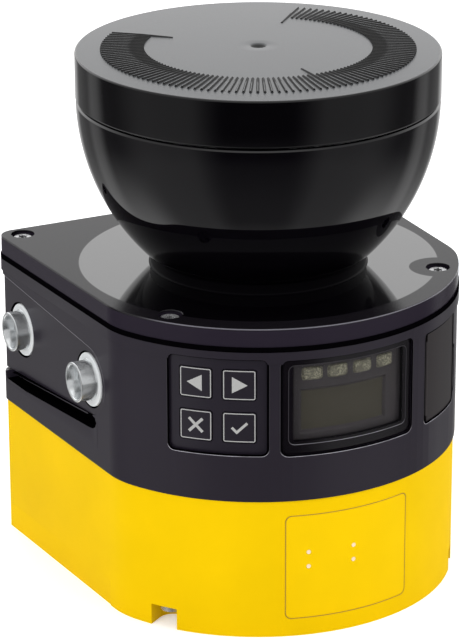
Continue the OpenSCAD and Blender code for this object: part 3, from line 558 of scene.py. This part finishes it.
class SCANNER_OT_optics_cover(bpy.types.Operator):
    """Bowl, neck and flange of the optics cover"""

    bl_idname = "scanner.optics_cover"
    bl_label = "Optics cover"

    def execute(self, context):
        chosen = settings("cover")
        rim_r, arc_r, neck_r = chosen.bowl_radius / MM, chosen.bowl_arc / MM, chosen.neck_radius / MM
        top, flange = COVER_TOP, FLANGE_TOP
        centre = (rim_r - arc_r, top + 1)
        # bowl: a circular arc from the neck up, then the rounded rim
        low = math.degrees(math.asin(-math.sqrt(arc_r**2 - (neck_r - centre[0]) ** 2) / arc_r))
        high = math.degrees(math.asin((top - 0.9 - centre[1]) / arc_r))
        outer = np.vstack(
            [
                arc(centre, arc_r, low + 0.4, high, 72),
                [[rim_r - 0.05, top - 0.55], [rim_r - 0.5, top - 0.06], [rim_r - 0.8, top]],
                [[rim_r - 1.6, top], [rim_r - 2.4, top - 0.5]],
            ]
        )
        finish = polished("smoked_cover", chosen.smoke, 0.035)
        bowl = grid_mesh("bowl", revolve(outer, ROUND), wrap_v=True)
        piece("optics_bowl", [bowl], finish, "root", 35, ("optics_cover",))
        # neck: a fillet on the flange and a straight wall, in a dull shade of the cover
        fillet = 0.6
        bend = arc((neck_r + fillet, flange + fillet), fillet, 270, 180, 6)
        wall = np.vstack([[[neck_r + fillet, flange - 0.1]], bend, [outer[0]]])
        dim = moulded("neck_shade", chosen.smoke, 0.5, 0.3, 0.002, specular=0.06)
        neck = grid_mesh("neck", revolve(wall, ROUND), wrap_v=True)
        piece("cover_neck", [neck], dim, "root")
        # flange: polished inside a circle, satin outside it and round the right screw
        look = Finish("cover_flange_finish", IOR=1.18, Coat_IOR=1.5, Coat_Roughness=0.03)
        x, y, height = look.axis("X"), look.axis("Y"), look.axis("Z")
        screw_x, screw_y = 41.03, -28.41

        def over(start, full):
            """0 at one depth below the flange's top and 1 at a lesser one."""
            return height.step((flange - start) * MM, (flange - full) * MM)

        radial = (x * x + y * y) ** 0.5
        satin = radial.step(49.6 * MM, 49.9 * MM)
        beside_x, beside_y = x - screw_x * MM, y - screw_y * MM
        from_screw = (beside_x * beside_x + beside_y * beside_y) ** 0.5
        satin = satin.most(1 - from_screw.step(7.8 * MM, 8.1 * MM))
        satin = satin.most(1 - over(0.15, 0.02))
        # the rounded edges are glossy, and on the upper one a highlight is painted: it is paler at the
        # front
        glossy_edge = over(0.55, 0.5) * (1 - over(0.03, 0.01))
        glossy_edge = glossy_edge.most(1 - height.step(84.0 * MM, 84.1 * MM))
        ridge = over(0.45, 0.3) * (1 - over(0.08, 0.02)) * (1 - y.step(-36 * MM, -24 * MM))
        grain = look.noise(4.0, 2.0)
        colour = look.mix(satin, chosen.smoke, (0.007, 0.006, 0.008))
        colour = look.mix(over(0.7, 0.4), settings("housing").black, colour)
        # painted highlight: the front of the upper edge's strip is paler
        look.feed("Base Color", look.mix(ridge, colour, (0.12, 0.115, 0.135)))
        look.feed("Roughness", 0.06 + satin * (0.1 + 0.04 * (grain - 0.5)))
        look.feed("Coat Weight", 0.8 * (1 - satin).most(glossy_edge))
        look.feed("Normal", look.bump(grain, 0.001))
        skin = dressed_copy("cover_flange_skin", "cover_flange", look, "root", 0.5, 3)
        flat_top(skin)
        return {"FINISHED"}


class SCANNER_OT_head_cap(bpy.types.Operator):
    """Head cap with its raised field scale"""

    bl_idname = "scanner.head_cap"
    bl_label = "Head cap"

    def execute(self, context):
        chosen = settings("cover")
        cap_r, low, edge, rise, corner = 49.9, 136.85, 149.8, 1.0, 0.55
        crown_edge = cap_r - corner
        # side: a hidden inner lip and the wall, with rounded lower and upper edges
        side = np.vstack(
            [
                [[44, low + 2.0], [44.0, low + 0.05], [45, low]],
                arc((cap_r - 0.7, low + 0.7), 0.7, 270, 360, 6),
                arc((crown_edge, edge - corner), corner, 0, 90, 8),
            ]
        )

        def crown(r):
            return edge + rise * (1 - (r / crown_edge) ** 2)

        gloss = polished("cap_side_gloss", tint(chosen.smoke, 0.7), 0.05)
        shell = grid_mesh("side", revolve(side, ROUND), wrap_v=True)
        # top: crown height, plus the rib height inside each mark
        count = chosen.mark_count
        foot, ridge = 0.42, 0.09  # half widths of a rib
        span = 275.0  # degrees from the first mark to the last
        long_start, short_start, mark_end, slope = 25, 31, 42.9, 0.03
        middle = np.radians(-90 - span / 2 + span * np.arange(count) / (count - 1))
        offsets = np.array([-foot, -ridge, ridge, foot])
        radii = np.concatenate(
            [
                [0, 0.6, 1.2, 2.4, 2.6, 6, 12, 18],
                [long_start - slope, long_start, short_start - slope, short_start, 33, 36, 39],
                [mark_end, mark_end + slope, 45, 47, crown_edge],
            ]
        )
        spread = np.maximum(radii, long_start)[:, None, None]
        theta = middle[None, :, None] + offsets[None, None, :] / spread
        gap = np.radians(360 - span)
        extra = middle[-1] + np.linspace(0, gap, 24)[1:-1]
        plain = np.broadcast_to(extra, (len(radii), len(extra)))
        theta = np.concatenate([theta.reshape(len(radii), -1), plain], 1)
        long_mark = np.zeros(count)
        long_mark[[0, count // 2, count - 1]] = 1
        across = np.tile([0, 1, 1, 0], count)
        longs = np.repeat(long_mark, 4)
        r = radii[:, None]
        inside = np.where(longs[None, :] > 0, r >= long_start, r >= short_start) & (r <= mark_end)
        depth = np.zeros((len(radii), theta.shape[1]))
        depth[:, : 4 * count] = inside * across[None, :] * (chosen.rib_height / MM)
        dimple = np.interp(radii, [0, 0.6, 2.4, 2.6], [1.1, 1.0, 0.05, 0])[:, None]
        z = np.where(depth > 0, np.minimum(crown(r) + depth, edge + rise), crown(r)) - dimple
        top = np.stack([r * np.cos(theta), r * np.sin(theta), z], -1)
        top[0] = [0, 0, z[0, 0]]
        disc = grid_mesh("top", top, wrap_v=True, flip=True)
        # satin top with painted shade: the walls of the ribs and the dimple are painted black
        look = Finish("cap_top_satin")
        x, y, height = look.axis("X"), look.axis("Y"), look.axis("Z")
        surface = (edge + rise) * MM - (x * x + y * y) * (rise * MM / (crown_edge * MM) ** 2)
        above = height - surface
        wall = above.step(0.02 * MM, 0.05 * MM) * (1 - above.step(0.47 * MM, 0.495 * MM))
        dark = wall.most((surface - height).step(0.1 * MM, 0.4 * MM))
        grain = look.noise(3.0, 2.0)
        cloud = look.noise(0.05, 2.0)
        satin = look.mix(cloud, tint(chosen.cap_grey, 0.94), tint(chosen.cap_grey, 1.06))
        # painted shade: the rib walls and the dimple turn black
        look.feed("Base Color", look.mix(dark, satin, (0.002, 0.002, 0.002)))
        look.feed("Roughness", 0.34 + 0.08 * (grain - 0.5) + 0.3 * dark)
        look.feed("Normal", look.bump(grain, 0.003))
        piece("head_cap_side", [shell], gloss, "root", 35, ("head_cap",))
        piece("head_cap_top", [disc], look, "root", 30)
        return {"FINISHED"}


class SCANNER_OT_housing(bpy.types.Operator):
    """Black housing with its rim, side panels and slots"""

    bl_idname = "scanner.housing"
    bl_label = "Housing"

    def execute(self, context):
        chosen = settings("housing")
        finish = moulded("housing_black", chosen.black, 0.36, 0.3, 0.003, specular=0.3, coat=0.12)
        skin = dressed_copy("housing_skin", "housing", finish, "root", 0.35, 3)
        skin.data.set_sharp_from_angle(angle=math.radians(12))
        # faces inside the slots and round the bushings are painted with deep shade
        at, facing = centres_and_normals(skin.data)
        x, y, z = np.abs(at[:, 0]), at[:, 1], at[:, 2]
        slot_x, slot_y, slot_z = (49.4, 55.2), (-7.5, SLOT_END_Y), (46.4, 54.6)
        pocket_r, pocket_x = 8.3, (45, 54.2)
        slot_floor_x, pocket_floor_x = 50.5, 52.8
        in_slot = within(x, *slot_x) & within(y, *slot_y) & within(z, *slot_z)
        middle_y = (FRONT_BUSHING_Y + REAR_BUSHING_Y) / 2
        from_bushing = np.hypot(np.abs(y - middle_y) - (REAR_BUSHING_Y - middle_y), z - BUSHING_Z)
        in_pocket = (from_bushing < pocket_r) & within(x, *pocket_x)
        wall = np.abs(facing[:, 0]) < 0.5
        dark = in_slot & (wall | (x < slot_floor_x)) | in_pocket & (wall | (x < pocket_floor_x))
        shade_faces(skin, dark, deep_shade())
        # painted shade: a black band stands in the groove below the cover's flange
        band = outline_band(
            "rim_groove_shade", "housing", low=79.5, high=83.9, out=0.03, deep=0.6, z0=82.8, z1=84.2
        )
        piece("rim_groove_shade", [band], deep_shade(), "root")
        # the lip below each slot falls to the rear, and closes the slot at both ends
        path, _ = support_points("housing", 41, 60)
        right = path[(path[:, 0] > 30) & within(path[:, 1], -30, SLOT_END_Y)]
        right = right[np.argsort(right[:, 1])]
        ys = np.concatenate([np.linspace(-6.6, 48, 40), np.linspace(48.4, 54.55, 24)])
        xs = np.interp(ys, right[:, 1], right[:, 0])
        rear = np.clip((ys - 49.2) / 1.4, 0, 1)
        nose = np.clip((-2.4 - ys) / 4.2, 0, 1)
        level, fall, rear_rise, nose_rise = 49.65, 0.078, 3.0, 3.2
        top = level - fall * ys
        top = top + rear_rise * (1 - np.sqrt(1 - rear**2)) + nose_rise * (1 - np.sqrt(1 - nose**2))
        floor_x, foot = 49.8 + 0 * xs, 45.2 + 0 * xs
        section = [
            (xs + 0.03, foot),
            (xs + 0.03, top - 0.3),
            (xs - 0.04, top - 0.1),
            (xs - 0.22, top),
            (floor_x, top),
            (floor_x, foot),
        ]
        ring = capped(np.stack([np.column_stack([across, ys, up]) for across, up in section], 1))
        for side, word in ((1, "right"), (-1, "left")):
            mesh = grid_mesh("lip", ring * [side, 1, 1], wrap_v=True, flip=side > 0)
            lip = piece("slot_lip_" + word, [mesh], finish, "root")
            at, facing = centres_and_normals(lip.data)
            # painted shade on the lip's upper faces
            upper = (np.abs(facing[:, 2]) > 0.5) & (np.abs(at[:, 0]) < 55.1) & (at[:, 1] < 50)
            shade_faces(lip, upper, deep_shade())
        # painted highlight along the upper edge of each side panel: a thin pale tube over the front
        # bushing and up to the rear corner
        panel_r, rear_corner, edge_r = 9.9, (50.0, 77.9), 0.09
        turn = np.radians(np.linspace(-20, 86, 24))
        bend_y = FRONT_BUSHING_Y - panel_r * np.cos(turn)
        bend = np.stack([bend_y, BUSHING_Z + panel_r * np.sin(turn)], 1)
        path = np.vstack([bend[:-1], finely([bend[-1], rear_corner], 1.0)])
        x = np.interp(path[:, 0], right[:, 1], right[:, 0])
        spin = np.radians(np.arange(6) * 60)
        out, up = edge_r * np.cos(spin), edge_r * np.sin(spin)
        ring = capped(np.stack([x[:, None] + out, np.repeat(path[:, :1], 6, 1), path[:, 1:] + up], -1))
        edges = [
            grid_mesh("edge", ring * [side, 1, 1], wrap_v=True, flip=side > 0) for side in (1, -1)
        ]
        look = Finish("panel_edge_highlight", Roughness=0.35)
        look.feed("Base Color", look.mix(look.noise(0.1), (0.06, 0.057, 0.066), (0.16, 0.15, 0.17)))
        piece("panel_edge_highlights", edges, look, "root", 60)
        return {"FINISHED"}


class SCANNER_OT_base(bpy.types.Operator):
    """Yellow base with the outlined status field"""

    bl_idname = "scanner.base"
    bl_label = "Base"

    def execute(self, context):
        chosen = settings("housing")
        finish = moulded("base_yellow", chosen.yellow, 0.42, 0.35, 0.003, specular=0.01)
        dressed_copy("base_skin", "base_housing", finish, "root", 0.35, 3)
        film = moulded("film_yellow", tint(chosen.yellow, 1.04), 0.3, 0.2, 0.001, specular=0.015)
        dressed_copy("status_film_skin", "status_film", film, "root")
        line = Finish("film_line", Roughness=0.6)
        line.feed("Base Color", line.mix(line.noise(0.6), (0.26, 0.15, 0.004), (0.34, 0.20, 0.006)))
        base_r, film_z, film_height, half_angle, corner = 54.95, 20.3, 30.2, 19.6, 1.7
        half_width = base_r * math.sin(math.radians(half_angle))
        path = round_rect(2 * half_width + 0.1, film_height, corner, 8)
        outline = stroke("film_outline", path, 0.11, base_r, 0, film_z, 0.015, closed=True)
        piece("film_outline", [outline], line, "root")
        lens = Finish("status_lens", Roughness=0.25)
        lens.feed("Base Color", lens.mix(lens.noise(2.0), (0.74, 0.56, 0.34), (0.84, 0.66, 0.46)))
        dressed_copy("status_lenses", "status_guides", lens, "root")
        return {"FINISHED"}


class SCANNER_OT_bushings(bpy.types.Operator):
    """Side and rear bushings, zinc plated"""

    bl_idname = "scanner.bushings"
    bl_label = "Bushings"

    def execute(self, context):
        colour = settings("housing").zinc
        zinc = metal("zinc_plate", colour, 0.22, (0.12, 1, 1), 1.2, 0.0002, metallic=0.9)
        pale = metal("zinc_face", colour, 0.5, (1, 1, 1), 4.0, 0.002, metallic=0.25)
        # collar: threaded bore, its stepped mouth and the rounded outer edge, out to the wall
        thread_r, tooth, half_pitch = 2.1, 0.35, 0.4
        along = np.arange(46.2, 52.6, half_pitch)
        thread = np.stack([along, thread_r + tooth * (np.arange(len(along)) % 2)], 1)
        bore = np.vstack(
            [
                [[46.0, 0.0], [46.0, thread_r]],
                thread,
                [[52.7, 2.5], [52.8, 3.1], [54.0, 3.2], [54.1, 3.4], [53.8, 3.45], [53.8, 3.75]],
                [[54.2, 3.8], [54.25, 4.2], [54.6, 4.3]],
                [[57.1, 4.72], [57.33, 4.86], [57.4, 4.95], [57.4, 5.35]],
                arc((57.15, 5.35), 0.25, 0, 90, 5),
            ]
        )
        # the front pair sits deeper than the rear pair, since the side panels taper
        root = np.array([[0.5, 5.6], [0.12, 5.7], [0.02, 5.85], [-0.1, 5.86], [-1.5, 5.0]])
        plate = np.vstack(
            [
                [[-0.2, 5.0], [0, 5.6], [0, 7.3], [-0.05, 7.45]],
                [[-0.2, 7.52], [-1.3, 7.52], [-1.3, 5.0]],
            ]
        )
        collars, discs = [], []
        for side in (-1, 1):
            for y, face_x in ((FRONT_BUSHING_Y, 52.85), (REAR_BUSHING_Y, 53.5)):
                collar = np.vstack([bore, root + [face_x, 0], [[45.6, 5.0], [45.6, 0.0]]])
                collars.append(turned("collar", collar, side, y, BUSHING_Z))
                discs.append(turned("disc", plate + [face_x, 0], side, y, BUSHING_Z, ring=True))
        piece("bushing_collars", collars, zinc, "root", 30, ("side_bushings",))
        piece("bushing_discs", discs, pale, "root", 30)
        dressed_copy("rear_bushings_skin", "rear_bushings", pale, "root", 0.2, 2)
        return {"FINISHED"}


class SCANNER_OT_screws(bpy.types.Operator):
    """Six-lobe screws of the cover and the base"""

    bl_idname = "scanner.screws"
    bl_label = "Screws"

    def execute(self, context):
        steel = metal("screw_plate", (0.5, 0.5, 0.51), 0.26, (1, 1, 1), 4.0, metallic=0.7)
        for node in ("cover_screws", "base_screws", "plug_screws"):
            skin = dressed_copy(node + "_skin", node, steel, "root", 0.12, 2)
            skin.visible_glossy = False
        return {"FINISHED"}


class SCANNER_OT_keypad(bpy.types.Operator):
    """Keypad frame and four keys with their printed symbols"""

    bl_idname = "scanner.keypad"
    bl_label = "Keypad"

    def execute(self, context):
        chosen = settings("housing")
        foil = moulded("keypad_foil", CONTROL_FOIL, 0.3, 0.2, 0.0015)
        dressed_copy("keypad_frame_skin", "keypad_frame", foil, "root", 0.2, 2)
        gap_line("keypad_gap", -38.8, 67.15, width=27.1, height=27.3, corner=1.7, half=0.3)
        ink = Finish("print_grey", Roughness=0.55)
        ink.feed("Base Color", ink.mix(ink.noise(3.0), tint(chosen.print_grey, 0.93), chosen.print_grey))
        key_face = moulded("key_foil", CONTROL_FOIL, 0.33, 0.2, 0.0015)
        face_r, left_angle, right_angle, upper_z, lower_z = 54.8, -45.0, -32.6, 73.2, 61.1
        square = round_rect(8.3, 7.9, 0.35, 3)
        # each mark is a path on the key and its half width, or the half widths of its ends
        arrow = (0.02, 2.3)
        left = [([(-2.4, 0), (1.75, 0)], arrow)]
        right = [([(2.2, 0), (-1.95, 0)], arrow)]
        cross = [([(-1.9, -1.9), (1.9, 1.9)], 0.4), ([(-1.9, 1.9), (1.9, -1.9)], 0.4)]
        tick = [([(-2.0, 0.0), (-0.7, -1.35), (2.1, 1.35)], 0.36)]
        for key, angle, z, marks in (
            ("key_back", left_angle, upper_z, left),
            ("key_forward", right_angle, upper_z, right),
            ("key_cancel", left_angle, lower_z, cross),
            ("key_confirm", right_angle, lower_z, tick),
        ):
            dressed_copy(key + "_skin", key, key_face, key, 0.15, 2)
            parts = [stroke(key + "_frame", square, 0.13, face_r, angle, z, 0.03, closed=True)]
            for path, half in marks:
                parts.append(stroke(key + "_mark", path, half, face_r, angle, z, 0.03))
            piece(key + "_print", parts, ink, key)
        return {"FINISHED"}


class SCANNER_OT_display(bpy.types.Operator):
    """Display window, signal lamps and the panel behind it"""

    bl_idname = "scanner.display"
    bl_label = "Display"

    def execute(self, context):
        # pane: smoked glass over the middle, printed black round its border
        look = Finish("window_smoke", IOR=1.5, Roughness=0.05)
        x, z = look.axis("X"), look.axis("Z")
        border = abs(x).step(16.2 * MM, 16.9 * MM)
        border = border.most(z.step(78.3 * MM, 78.9 * MM)).most(1 - z.step(56.6 * MM, 57.2 * MM))
        haze = look.noise(0.1, 2.0)
        look.feed("Base Color", look.mix(haze, (0.003, 0.0024, 0.0036), (0.0045, 0.0036, 0.005)))
        look.feed("Alpha", 0.2 + 0.8 * border)
        dressed_copy("window_pane", "display_window", look, "root", 0.3, 2)
        gap_line("window_gap", 0, WINDOW_Z, width=39.7, height=27.3, corner=1.9, half=0.26)
        # painted highlight: a thin pale line round the pane's inner bevel
        path = round_rect(35.6, 22.5, 1.6, 6)
        seam = stroke("seam", path, 0.08, 54.92, 0, WINDOW_Z + 0.5, 0.01, closed=True)
        piece("window_bevel_highlight", [seam], painted_edge_highlight(55.6, 0.55), "root")
        # panel: a curved face whose field is sunk by 0.7 (3 b^2 - 2 b^3), b = inside / bevel
        half_width, half_height, bevel = 17.3, 11.2, 0.8
        u, v = np.meshgrid(
            np.linspace(-half_width, half_width, 140),
            np.linspace(-half_height, half_height, 92),
            indexing="ij",
        )
        left, right, low, high = -14.3, 11.6, -8.2, 4.5
        inside = np.minimum(np.minimum(u - left, right - u), np.minimum(v - low, high - v))
        b = np.clip(inside / bevel, 0, 1)
        front = on_front(np.stack([u, v], -1), PANEL_R, 0, WINDOW_Z, -0.7 * b**2 * (3 - 2 * b))
        back = on_front(np.stack([u, v], -1), PANEL_R - 1.3, 0, WINDOW_Z)
        shell = [grid_mesh("panel", front, flip=True), grid_mesh("panel", back)]
        look = Finish("panel_grey", Roughness=0.5, Specular_IOR_Level=0.3)
        x, z = look.axis("X"), look.axis("Z")
        inside = (x + 13.6 * MM).least(10.9 * MM - x).least(z - 59.3 * MM).least(70.6 * MM - z)
        frame_grey = look.mix(look.noise(0.15), (0.060, 0.054, 0.057), (0.070, 0.063, 0.067))
        field_grey = look.mix(look.noise(0.08), (0.073, 0.067, 0.049), (0.082, 0.075, 0.055))
        look.feed("Base Color", look.mix(inside.step(0.0, 0.3 * MM), frame_grey, field_grey))
        look.feed("Normal", look.bump(look.noise(8.0, 0.0), 0.001))
        piece("panel_face", shell, look, "root", 30, ("display_module",))
        # lamps: pillows with rounded corners, 0.5 (1 - a^6) (1 - b^6) high over a square
        lamp = Finish("lamp_guide", Roughness=0.35)
        dots = lamp.noise(2.4, 1.0, 0.4)
        patch = lamp.noise(0.35, 1.0)
        bright = dots.step(0.42, 0.62) * patch.step(0.35, 0.6)
        lamp.feed("Base Color", lamp.mix(bright, (0.10, 0.095, 0.07), (0.27, 0.26, 0.19)))
        lamp.feed("Normal", lamp.bump(dots, 0.05))
        a, b = np.meshgrid(np.linspace(-1, 1, 25), np.linspace(-1, 1, 25), indexing="ij")
        pads = []
        for start, end in ((-13.9, -7.9), (-6.9, -0.7), (0.6, 6.7), (8.1, 13.8)):
            across = (start + end) / 2 + (end - start) / 2 * a * (1 - 0.1 * b**4)
            upward = 8.65 + 1.95 * b * (1 - 0.1 * a**4)
            lift = 0.5 * (1 - a**6) * (1 - b**6) - 0.1
            pad = on_front(np.stack([across, upward], -1), PANEL_R, 0, WINDOW_Z, lift)
            pads.append(grid_mesh("pad", pad, flip=True))
        piece("signal_lamps", pads, lamp, "root", 60, ("led_guides",))
        return {"FINISHED"}


class SCANNER_OT_port_cover(bpy.types.Operator):
    """Hinged cover of the service port"""

    bl_idname = "scanner.port_cover"
    bl_label = "Port cover"

    def execute(self, context):
        rubber = moulded("port_rubber", (0.017, 0.0135, 0.0148), 0.42, 0.3, 0.003, specular=0.3)
        dressed_copy("port_cover_skin", "port_cover", rubber, "port_cover", 0.35, 3)
        gap_line("port_gap", 37.6, 66.15, width=19.95, height=26.0, corner=1.3, half=0.3)
        return {"FINISHED"}


class SCANNER_OT_inner_parts(bpy.types.Operator):
    """Finishes of the rear plug, the seals and everything inside"""

    bl_idname = "scanner.inner_parts"
    bl_label = "Inner parts"

    def execute(self, context):
        rubber = moulded("seal_rubber", (0.012, 0.012, 0.012), 0.7, 0.4, 0.01)
        dark = moulded("inner_plastic", (0.02, 0.02, 0.021), 0.45, 0.3, 0.004)
        board = moulded("solder_resist", (0.02, 0.11, 0.05), 0.3, 0.5, 0.004)
        cast = metal("die_cast", (0.42, 0.43, 0.44), 0.45, (1, 1, 1), 1.5, 0.006)
        steel = metal("bright_steel", (0.55, 0.55, 0.56), 0.25, (1, 1, 0.1), 3.0)
        nickel = metal("nickel_plate", (0.55, 0.53, 0.47), 0.22, (1, 0.1, 1), 3.0)
        copper = metal("enamelled_copper", (0.62, 0.30, 0.14), 0.35, (1, 1, 0.2), 3.0)
        flex = moulded("flex_film", (0.5, 0.25, 0.05), 0.3, 0.5, 0.002)
        mirror = metal("mirror_coating", (0.88, 0.89, 0.9), 0.03, (1, 1, 1), 1.0, 0.0005)
        glass = Finish("lens_glass", Roughness=0.02, IOR=1.6)
        glass.feed("Base Color", glass.mix(glass.noise(0.2), (0.5, 0.6, 0.62), (0.56, 0.66, 0.68)))
        for finish, nodes in (
            (rubber, ("cover_seal", "housing_seal", "window_gasket", "plug_seal")),
            (dark, ("system_plug", "receiver_tube", "mirror_carrier", "encoder_sensor")),
            (board, ("keypad_board", "display_board", "status_board", "main_board")),
            (board, ("power_board", "monitor_board", "receiver_board")),
            (cast, ("optics_frame", "laser_module", "rotor_bell")),
            (steel, ("frame_screws", "bearings", "rotor_shaft", "encoder_disc")),
            (nickel, ("power_connector", "network_connectors", "service_port")),
            (copper, ("motor_stator",)),
            (flex, ("motor_flex",)),
            (mirror, ("deflection_mirror",)),
            (glass, ("receiver_lens",)),
        ):
            for node in nodes:
                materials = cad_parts[node].data.materials
                materials.clear()
                materials.append(finish.material)
        return {"FINISHED"}


class SCANNER_OT_studio(bpy.types.Operator):
    """Pale floor, soft studio light and the camera"""

    bl_idname = "scanner.studio"
    bl_label = "Studio"

    def execute(self, context):
        chosen = settings("studio")
        scene = context.scene
        # floor: a flat square that nothing mirrors
        half_side = 3000
        side = np.linspace(-half_side, half_side, 3)
        x, y = np.meshgrid(side, side, indexing="ij")
        mesh = grid_mesh("floor", np.stack([x, y, 0 * x], -1), flip=True)
        floor = bpy.data.objects.new("floor", mesh)
        scene.collection.objects.link(floor)
        paper = Finish("floor_paper", Roughness=0.9, Specular_IOR_Level=0.1, Emission_Strength=0.3)
        paper.feed("Emission Color", (1.0, 1.0, 1.0))
        white = paper.mix(paper.noise(0.01), chosen.floor_white, tint(chosen.floor_white, 1.02))
        paper.feed("Base Color", white)
        mesh.materials.append(paper.material)
        floor.visible_glossy = False
        # sky: bright, most of all behind the part and overhead
        world = bpy.data.worlds.new("studio")
        scene.world = world
        world.use_nodes = True
        sky = Nodes(world.node_tree)
        tree = sky.tree
        out = tree.nodes.new("ShaderNodeOutputWorld")
        shade = tree.nodes.new("ShaderNodeBackground")
        tree.links.new(shade.outputs[0], out.inputs[0])
        way = sky.node("ShaderNodeTexCoord", output="Generated")
        dot, ahead = {"operation": "DOT_PRODUCT"}, (0.459, 0.888, 0.0)
        away = sky.node("ShaderNodeVectorMath", dot, {0: way, 1: ahead}, output="Value")
        up = sky.node("ShaderNodeSeparateXYZ", None, {0: way}, output="Z")
        high = chosen.sky * (1 + (chosen.backdrop - 1) * away.step(0.1, 0.7) + 0.9 * up.step(0.8, 1.0))
        # below the horizon: dim towards the camera, brighter to the sides, and dim behind
        # the part but for a bright band and a bright middle
        down = -1 * up
        facing = -1 * away / ((1 - up * up) ** 0.5 + 0.001)
        aside = 1 - facing.step(0.7, 0.95)
        behind = 1 - facing.step(-0.25, 0.3)
        low = chosen.front_dim + 0.08 * down.step(0.36, 0.5) + 0.4 * aside - 0.3 * behind
        low = low + 0.5 * away.step(0.35, 0.52) - 0.35 * away.step(0.58, 0.7)
        low = low + 0.6 * away.step(0.84, 0.93)
        # steeply down it is brighter, most of all behind the part and straight down
        steep = down.step(0.4, 0.85)
        low = low + steep * (0.22 + 0.3 * aside + 0.8 * behind - low) + 0.3 * down.step(0.85, 0.97)
        strength = low + up.step(-0.03, 0.06) * (high - low)
        tree.links.new(strength.socket, shade.inputs["Strength"])
        # two broad soft boxes that aim at the part's middle, light it and are not mirrored
        middle = np.array([0, 0, 0.07])
        for name, spot, size, power in (
            ("key_box", (-2.6, -1.0, 1.6), 1.6, 40.0),
            ("fill_box", (2.0, -1.6, 1.4), 1.6, 30.0),
        ):
            lamp = bpy.data.lights.new(name, "AREA")
            lamp.size, lamp.energy, lamp.shape = size, power, "DISK"
            holder = bpy.data.objects.new(name, lamp)
            scene.collection.objects.link(holder)
            holder.location = spot
            aim = middle - np.array(spot)
            flat = math.hypot(aim[0], aim[1])
            holder.rotation_euler = (math.atan2(flat, -aim[2]), 0, math.atan2(-aim[0], aim[1]))
            holder.visible_glossy = False
        camera = bpy.data.objects.new("camera", bpy.data.cameras.new("camera"))
        scene.collection.objects.link(camera)
        camera.location = (-0.401563, -0.777047, 0.395144)
        camera.rotation_euler = (math.radians(69.690), 0, math.radians(-27.329))
        camera.data.lens, camera.data.sensor_width = 187.83, 36.0
        camera.data.shift_x = -0.045
        camera.data.clip_start, camera.data.clip_end = 0.01, 50
        scene.camera = camera
        scene.view_settings.view_transform = "Standard"
        return {"FINISHED"}


class SCANNER_PT_panel(bpy.types.Panel):
    """The scanner's pieces and settings"""

    bl_idname = "SCANNER_PT_panel"
    bl_label = "Safety laser scanner"
    bl_space_type = "VIEW_3D"
    bl_region_type = "UI"
    bl_category = GROUP

    def draw(self, context):
        for operator in OPERATORS:
            self.layout.operator(operator.bl_idname)
        for kind, group in GROUPS.items():
            box = self.layout.box()
            for name in group.__annotations__:
                box.prop(settings(kind), name)


OPERATORS = (
    SCANNER_OT_optics_cover,
    SCANNER_OT_head_cap,
    SCANNER_OT_housing,
    SCANNER_OT_base,
    SCANNER_OT_bushings,
    SCANNER_OT_screws,
    SCANNER_OT_keypad,
    SCANNER_OT_display,
    SCANNER_OT_port_cover,
    SCANNER_OT_inner_parts,
    SCANNER_OT_studio,
)
GROUPS = {"cover": CoverSettings, "housing": HousingSettings, "studio": StudioSettings}
CLASSES = (*GROUPS.values(), *OPERATORS, SCANNER_PT_panel)


def register():
    for cls in CLASSES:
        bpy.utils.register_class(cls)
    for kind, group in GROUPS.items():
        setattr(bpy.types.Scene, "scanner_" + kind, PointerProperty(type=group))


def unregister():
    for kind in GROUPS:
        delattr(bpy.types.Scene, "scanner_" + kind)
    for cls in reversed(CLASSES):
        bpy.utils.unregister_class(cls)


def main():
    register()
    for operator in OPERATORS:
        getattr(bpy.ops.scanner, operator.bl_idname.split(".")[1])()


if __name__ == "__main__":
    main()
